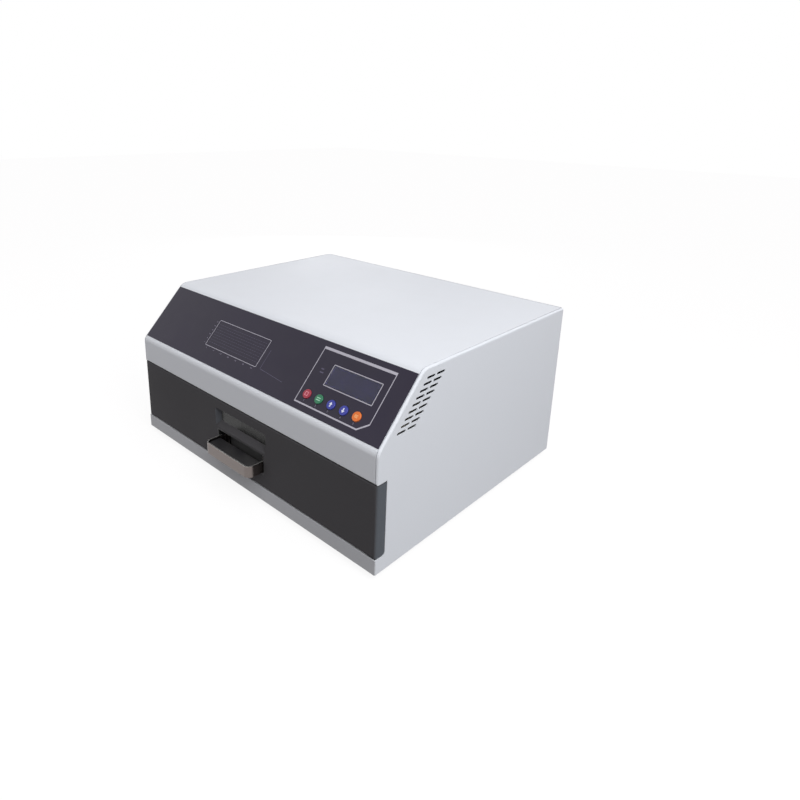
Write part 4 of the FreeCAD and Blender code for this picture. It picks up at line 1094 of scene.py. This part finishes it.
makeHeaters()
soften("heater_caps", "whiteCeramic", 1.2, 3)
soften("chamber_floor chamber_right_wall chamber_left_wall chamber_roof chamber_back front_frame", "brightSheet",
    0.25)
soften("reflector", "reflectorSheet", 0.15)
soften("thermocouples", "zincSteel", 0.2)
soften("circulation_impeller", "zincSteel", 0.25)
soften("roof_insulation side_insulation back_insulation", "fibreBoard", 0.5)
print("chamber: liner, heaters, reflector, impeller, insulation")


# electronics on the shelf
soften("electronics_shelf", "zincSteel", 0.25)
soften("circulation_motor", "motorSteel", 0.4)
soften("power_board", "circuitBoard", 0.2)
soften("mains_transformer", "transformerCore", 0.4)
print("electronics: shelf, motor, power board, transformer")


# rear: exhaust fan, guard, mains inlet, screws, feet
fan = {"blades": 7, "rootPitch": 52, "tipPitch": 32, "sweep": 26, "rootChord": 0.92, "chordGain": 0.18,
    "chordShare": 0.94, "thinning": 0.75, "bladeShare": 0.47, "rings": 4, "spokeStart": 0.18,
    "capEdge": ((0, 1.6), (0.5, 0.5), (1.6, 0)), "dish": ((7, 0), (7.4, 0.3)),  # millimetres in and down
    **lengths(hub=16, root=1.5, shaft=1.5, shaftLength=5.2, thickness=1.3, camber=1.6, wire=0.75, spoke=0.9, washer=4,
        washerHole=1.7, ringReach=2, spokeBend=5, spokeEnd=3.2)}
fanCentre = Vector(joints["exhaust_spin"]["pos_m"])


def makeRotor():
    low, high = boxOf["exhaust_fan_rotor"]
    hub, front = fan["hub"], low.y + fan["shaftLength"]
    height, reach = high.y - front, (high.x - low.x) / 2 - hub + fan["root"]
    fullChord = fan["chordShare"] * height / sin(radians(fan["rootPitch"]))
    highest = fan["bladeShare"] * height
    rings = []
    for share in [row / 10 for row in range(11)]:
        radius = hub - fan["root"] + reach * share
        pitch = radians(fan["rootPitch"] + (fan["tipPitch"] - fan["rootPitch"]) * share)
        chord = fullChord * (fan["rootChord"] + fan["chordGain"] * share)
        ring = []
        for skin, order in ((-0.5, range(9)), (0.5, range(8, -1, -1))):
            for step in [index / 8 - 0.5 for index in order]:
                off = (2 * step) ** 2
                lift = fan["camber"] * (1 - off) + fan["thickness"] * skin * (1 - fan["thinning"] * off)
                run = step * chord * cos(pitch) - lift * sin(pitch)
                rise = step * chord * sin(pitch) + lift * cos(pitch)
                rise = max(min(rise, highest), -highest)
                angle = run / radius + radians(fan["sweep"]) * share
                ring.append((radius * cos(angle), rise, radius * sin(angle)))
        rings.append(ring)
    blade = built("blade", addLoft, rings)
    centre = Vector((fanCentre.x, front + height / 2, fanCentre.z))
    blades = spread("blades", bladeRing, "blackPlastic", blade, Count=fan["blades"], Centre=centre)
    profile = [(fan["shaft"], low.y), (fan["shaft"], front), (hub, front)]
    profile += [(hub - inward * mm, high.y - down * mm) for inward, down in fan["capEdge"] + fan["dish"]]
    cap = built("fan_hub", addLathe, profile, roundAxis(fanCentre), 48)
    dress(joinPieces("moulded_fan_rotor", blades, cap), "blackPlastic", "exhaust_fan_rotor")


def makeGuard():
    low, high = boxOf["fan_guard"]
    wire, spoke, washer, hole = fan["wire"], fan["spoke"], fan["washer"], fan["washerHole"]
    level, reach = high.y - wire, (high.x - low.x) / 2 - washer
    rings = runTree(built("rings", addPoints, []), ringGuard, "zincSteel", Rings=fan["rings"],
        Reach=reach + fan["ringReach"], Wire=wire, Centre=Vector((fanCentre.x, level, fanCentre.z)))
    bm = bmesh.new()
    for turn in range(4):
        angle = pi / 4 + turn * pi / 2
        aim = Vector((cos(angle), 0, sin(angle)))
        foot = Vector((fanCentre.x, 0, fanCentre.z)) + aim * (reach * sqrt(2))
        near = Vector((fanCentre.x, level - wire, fanCentre.z)) + aim * (fan["spokeStart"] * reach)
        bend = Vector((foot.x, level - wire, foot.z)) - aim * fan["spokeBend"]
        addRod(bm, near, bend, spoke)
        addRod(bm, bend, Vector((foot.x, low.y + spoke, foot.z)) - aim * fan["spokeEnd"], spoke)
        profile = [(hole, low.y), (washer, low.y), (washer, high.y), (hole, high.y)]
        addLathe(bm, profile, roundAxis(foot), 24, True)
    dress(joinPieces("wire_fan_guard", rings, newPiece("spokes", bm)), "zincSteel", "fan_guard")


screws = {"edgeShare": 0.35, "seed": 7,
    **lengths(head=3.2, height=2, shank=1.45, length=5, recess=1.1, slit=0.42, arm=1.75)}


def makeRearScrews():
    head, height, shank = screws["head"], screws["height"], screws["shank"]
    edge = screws["edgeShare"]
    profile = [(shank, -screws["length"]), (shank, 0), (head, 0), (head, edge * height)]
    profile += [(head * c, height * (edge + (1 - edge) * s)) for c, s in arc(pi / 2, 6, 1)[:-1]]
    screw = built("screw", addLathe, profile, alongY, 28)
    slit, arm, deep = screws["slit"], screws["arm"], height - screws["recess"]
    for x, z in ((arm, slit), (slit, arm)):
        carve(screw, built("slit", addBox, (-x, deep, -z), (x, 2 * height, z)))
    seats = [((a.x + b.x) / 2, b.y - height, (a.z + b.z) / 2) for a, b in islands("rear_screws")]
    piece = spread("cross_rear_screws", setOut, "screwSteel", screw, seats, Axis=Vector((0, 1, 0)), Twist=pi / 2,
        Seed=screws["seed"])
    dress(piece, "screwSteel", "rear_screws")


feetRims = {  # millimetres: the hollow under side with its rim, and how far the upper rim is in and down
    "lower": [(3.6, 2.4), (3.9, 0.4), (4.4, 0), (9.4, 0), (10.0, 0.25), (10.3, 0.8)],
    "upper": [(0.1, 0.9), (0, 0.5), (0.3, 0)],
}


def makeFeet():
    feet = islands("rubber_feet")
    low, high = feet[0]
    tall, radius = high.z - low.z, (high.x - low.x) / 2
    profile = [(r * mm, h * mm) for r, h in feetRims["lower"]]
    profile += [(radius - inward * mm, tall - down * mm) for inward, down in feetRims["upper"]]
    foot = built("foot", addLathe, profile, alongZ, 40)
    spots = [((a.x + b.x) / 2, (a.y + b.y) / 2, a.z) for a, b in feet]
    dress(spread("moulded_feet", setOut, "footRubber", foot, spots), "footRubber", "rubber_feet")


inlet = lengths(pinSpread=7, pinWide=1.1, pinTall=2.1, pinOffset=2, pinTip=5.4, pinLength=11, socketRise=15.5)
rocker = {"tilt": 10, **lengths(half=10, crown=3.2, valley=2, lift=0.02, ink=0.05, barWide=0.35, barTall=2,
    ringOuter=2.1, ringInner=1.5)}


def makeInlet():
    soften("power_inlet", "blackPlastic", 0.4)
    low, high = boxOf["power_inlet"]
    wide, tall, offset = inlet["pinWide"], inlet["pinTall"], inlet["pinOffset"]
    tip = high.y - inlet["pinTip"]
    bm = bmesh.new()
    for side, lift in ((-1, -offset), (1, -offset), (0, offset)):
        x = (low.x + high.x) / 2 + side * inlet["pinSpread"]
        z = low.z + inlet["socketRise"] + lift
        addBox(bm, (x - wide, tip - inlet["pinLength"], z - tall), (x + wide, tip, z + tall))
    dress(bevelEdges(newPiece("inlet_pins", bm), 0.4, 3), "brassPins", "power_inlet", False)


def makeRocker():
    soften("power_rocker", "rockerPlastic", 0.5, 3)
    pivot = Vector(joints["rocker_hinge"]["pos_m"])
    tilt = Matrix.Rotation(radians(rocker["tilt"]), 3, "X")
    lean = atan2(rocker["crown"] - rocker["valley"], rocker["half"])

    def half(side):  # place on the upper or lower half of the rocker's face
        spin = Matrix.Rotation(-side * lean, 3, "X")
        centre = Vector((0, (rocker["crown"] + rocker["valley"]) / 2, side * rocker["half"] / 2))
        return lambda u, v, w: pivot + tilt @ (centre + spin @ Vector((-u, w + rocker["lift"], v)))

    bm = bmesh.new()
    wide, tall, thick = rocker["barWide"], rocker["barTall"], rocker["ink"]
    addSlab(bm, rectangle(-wide, wide, -tall, tall), half(1), 0, thick)
    outer, inner = rocker["ringOuter"], rocker["ringInner"]
    addLathe(bm, [(outer, 0), (outer, thick), (inner, thick), (inner, 0)], half(-1), 32, True)
    dress(newPiece("rocker_marks", bm), "whiteMark", "power_rocker", False)


soften("exhaust_fan_frame", "blackPlastic", 0.5)
makeRotor()
makeGuard()
makeRearScrews()
makeFeet()
makeInlet()
makeRocker()
print("rear: fan, guard, inlet, rocker, screws, feet")


# studio: white ground, soft lamps, camera where the photograph was taken
studio = {"ambient": (0.280, 0.262, 0.262, 1), "groundColor": (0.13, 0.125, 0.125, 1), "groundGlow": 0.90,
    "groundReach": 6, "lampColor": (0.935, 0.97, 1.0), "keySpread": 70}
lamps = {  # kind, power, size, place
    "key": ("SUN", 1.50, None, (0.50, -0.05, 0.86)), "fill": ("AREA", 7.3, 0.9, (0.98, -0.32, 0.95)),
    "front": ("AREA", 2.0, 0.9, (-0.55, -1.15, 0.46)), "rear": ("AREA", 2.4, 0.6, (-1.10, 1.10, 0.30)),
}


def seenRays(tree):
    path = shading(tree, "LightPath", None, None)
    direct = maths(tree, "MAXIMUM", path["Is Camera Ray"], path["Is Glossy Ray"])
    return maths(tree, "MAXIMUM", direct, path["Is Transmission Ray"])


def makeWorld():
    world = bpy.context.scene.world or bpy.data.worlds.new("studio")
    bpy.context.scene.world = world
    world.use_nodes = True
    tree = world.node_tree
    tree.nodes.clear()
    soft = shading(tree, "Background", {"Color": studio["ambient"], "Strength": 1.0})
    white = shading(tree, "Background", {"Color": (1, 1, 1, 1), "Strength": 1.0})
    mix = shading(tree, "MixShader", {0: seenRays(tree), 1: soft, 2: white})
    shading(tree, "OutputWorld", {"Surface": mix}, None)


def makeGround():
    tree, shader = newMaterial("studioGround")
    setSockets(tree, shader, {"Base Color": studio["groundColor"], "Roughness": 1.0, "Specular IOR Level": 0.0})
    glow = shading(tree, "Emission", {"Color": (1, 1, 1, 1), "Strength": studio["groundGlow"]})
    dark = shading(tree, "Emission", {"Color": (0, 0, 0, 1), "Strength": 0.0})
    lit = shading(tree, "MixShader", {0: seenRays(tree), 1: dark, 2: glow})
    both = shading(tree, "AddShader", {0: shader.outputs[0], 1: lit})
    tree.links.new(both, tree.nodes["Material Output"].inputs["Surface"])
    reach = studio["groundReach"]
    bm = bmesh.new()
    bm.faces.new([bm.verts.new((x, y, 0)) for x, y in rectangle(-reach, reach, -reach, reach)])
    ground = newPiece("ground", bm)
    ground.data.materials.append(finishes["studioGround"])


def makeLamp(name, kind, power, size, place):
    lamp = bpy.data.lights.new(name, kind)
    lamp.energy = power
    lamp.color = studio["lampColor"]
    if kind == "SUN":  # a wide source, as soft as a large diffuser
        lamp.angle = radians(studio["keySpread"])
    else:
        lamp.shape = "DISK"
        lamp.size = size
    holder = addObject(name, lamp)
    holder.location = place
    holder.rotation_euler = (-holder.location).to_track_quat("-Z", "Y").to_euler()


photo = {"place": (0.57357, -0.58205, 0.46102), "view": (-0.66448, 0.68951, -0.28818), "roll": 1.0046,
    "lens": 28.0818, "shift": (0.06313, -0.12237), "sensor": 36, "nearest": 0.01}


def makeCamera():
    camera = bpy.data.cameras.new("photoCamera")
    camera.sensor_width = photo["sensor"]
    camera.lens = photo["lens"]
    camera.shift_x, camera.shift_y = photo["shift"]
    camera.clip_start = photo["nearest"]
    holder = addObject("photoCamera", camera)
    holder.location = photo["place"]
    aim = Vector(photo["view"]).to_track_quat("-Z", "Y")
    holder.rotation_mode = "QUATERNION"
    holder.rotation_quaternion = aim @ Quaternion((0, 0, 1), radians(photo["roll"]))
    bpy.context.scene.camera = holder


makeWorld()
makeGround()
for name, row in lamps.items():
    makeLamp(name + "Lamp", *row)
makeCamera()
bpy.context.scene.view_settings.view_transform = "Standard"
print("studio: ground, lamps, camera")
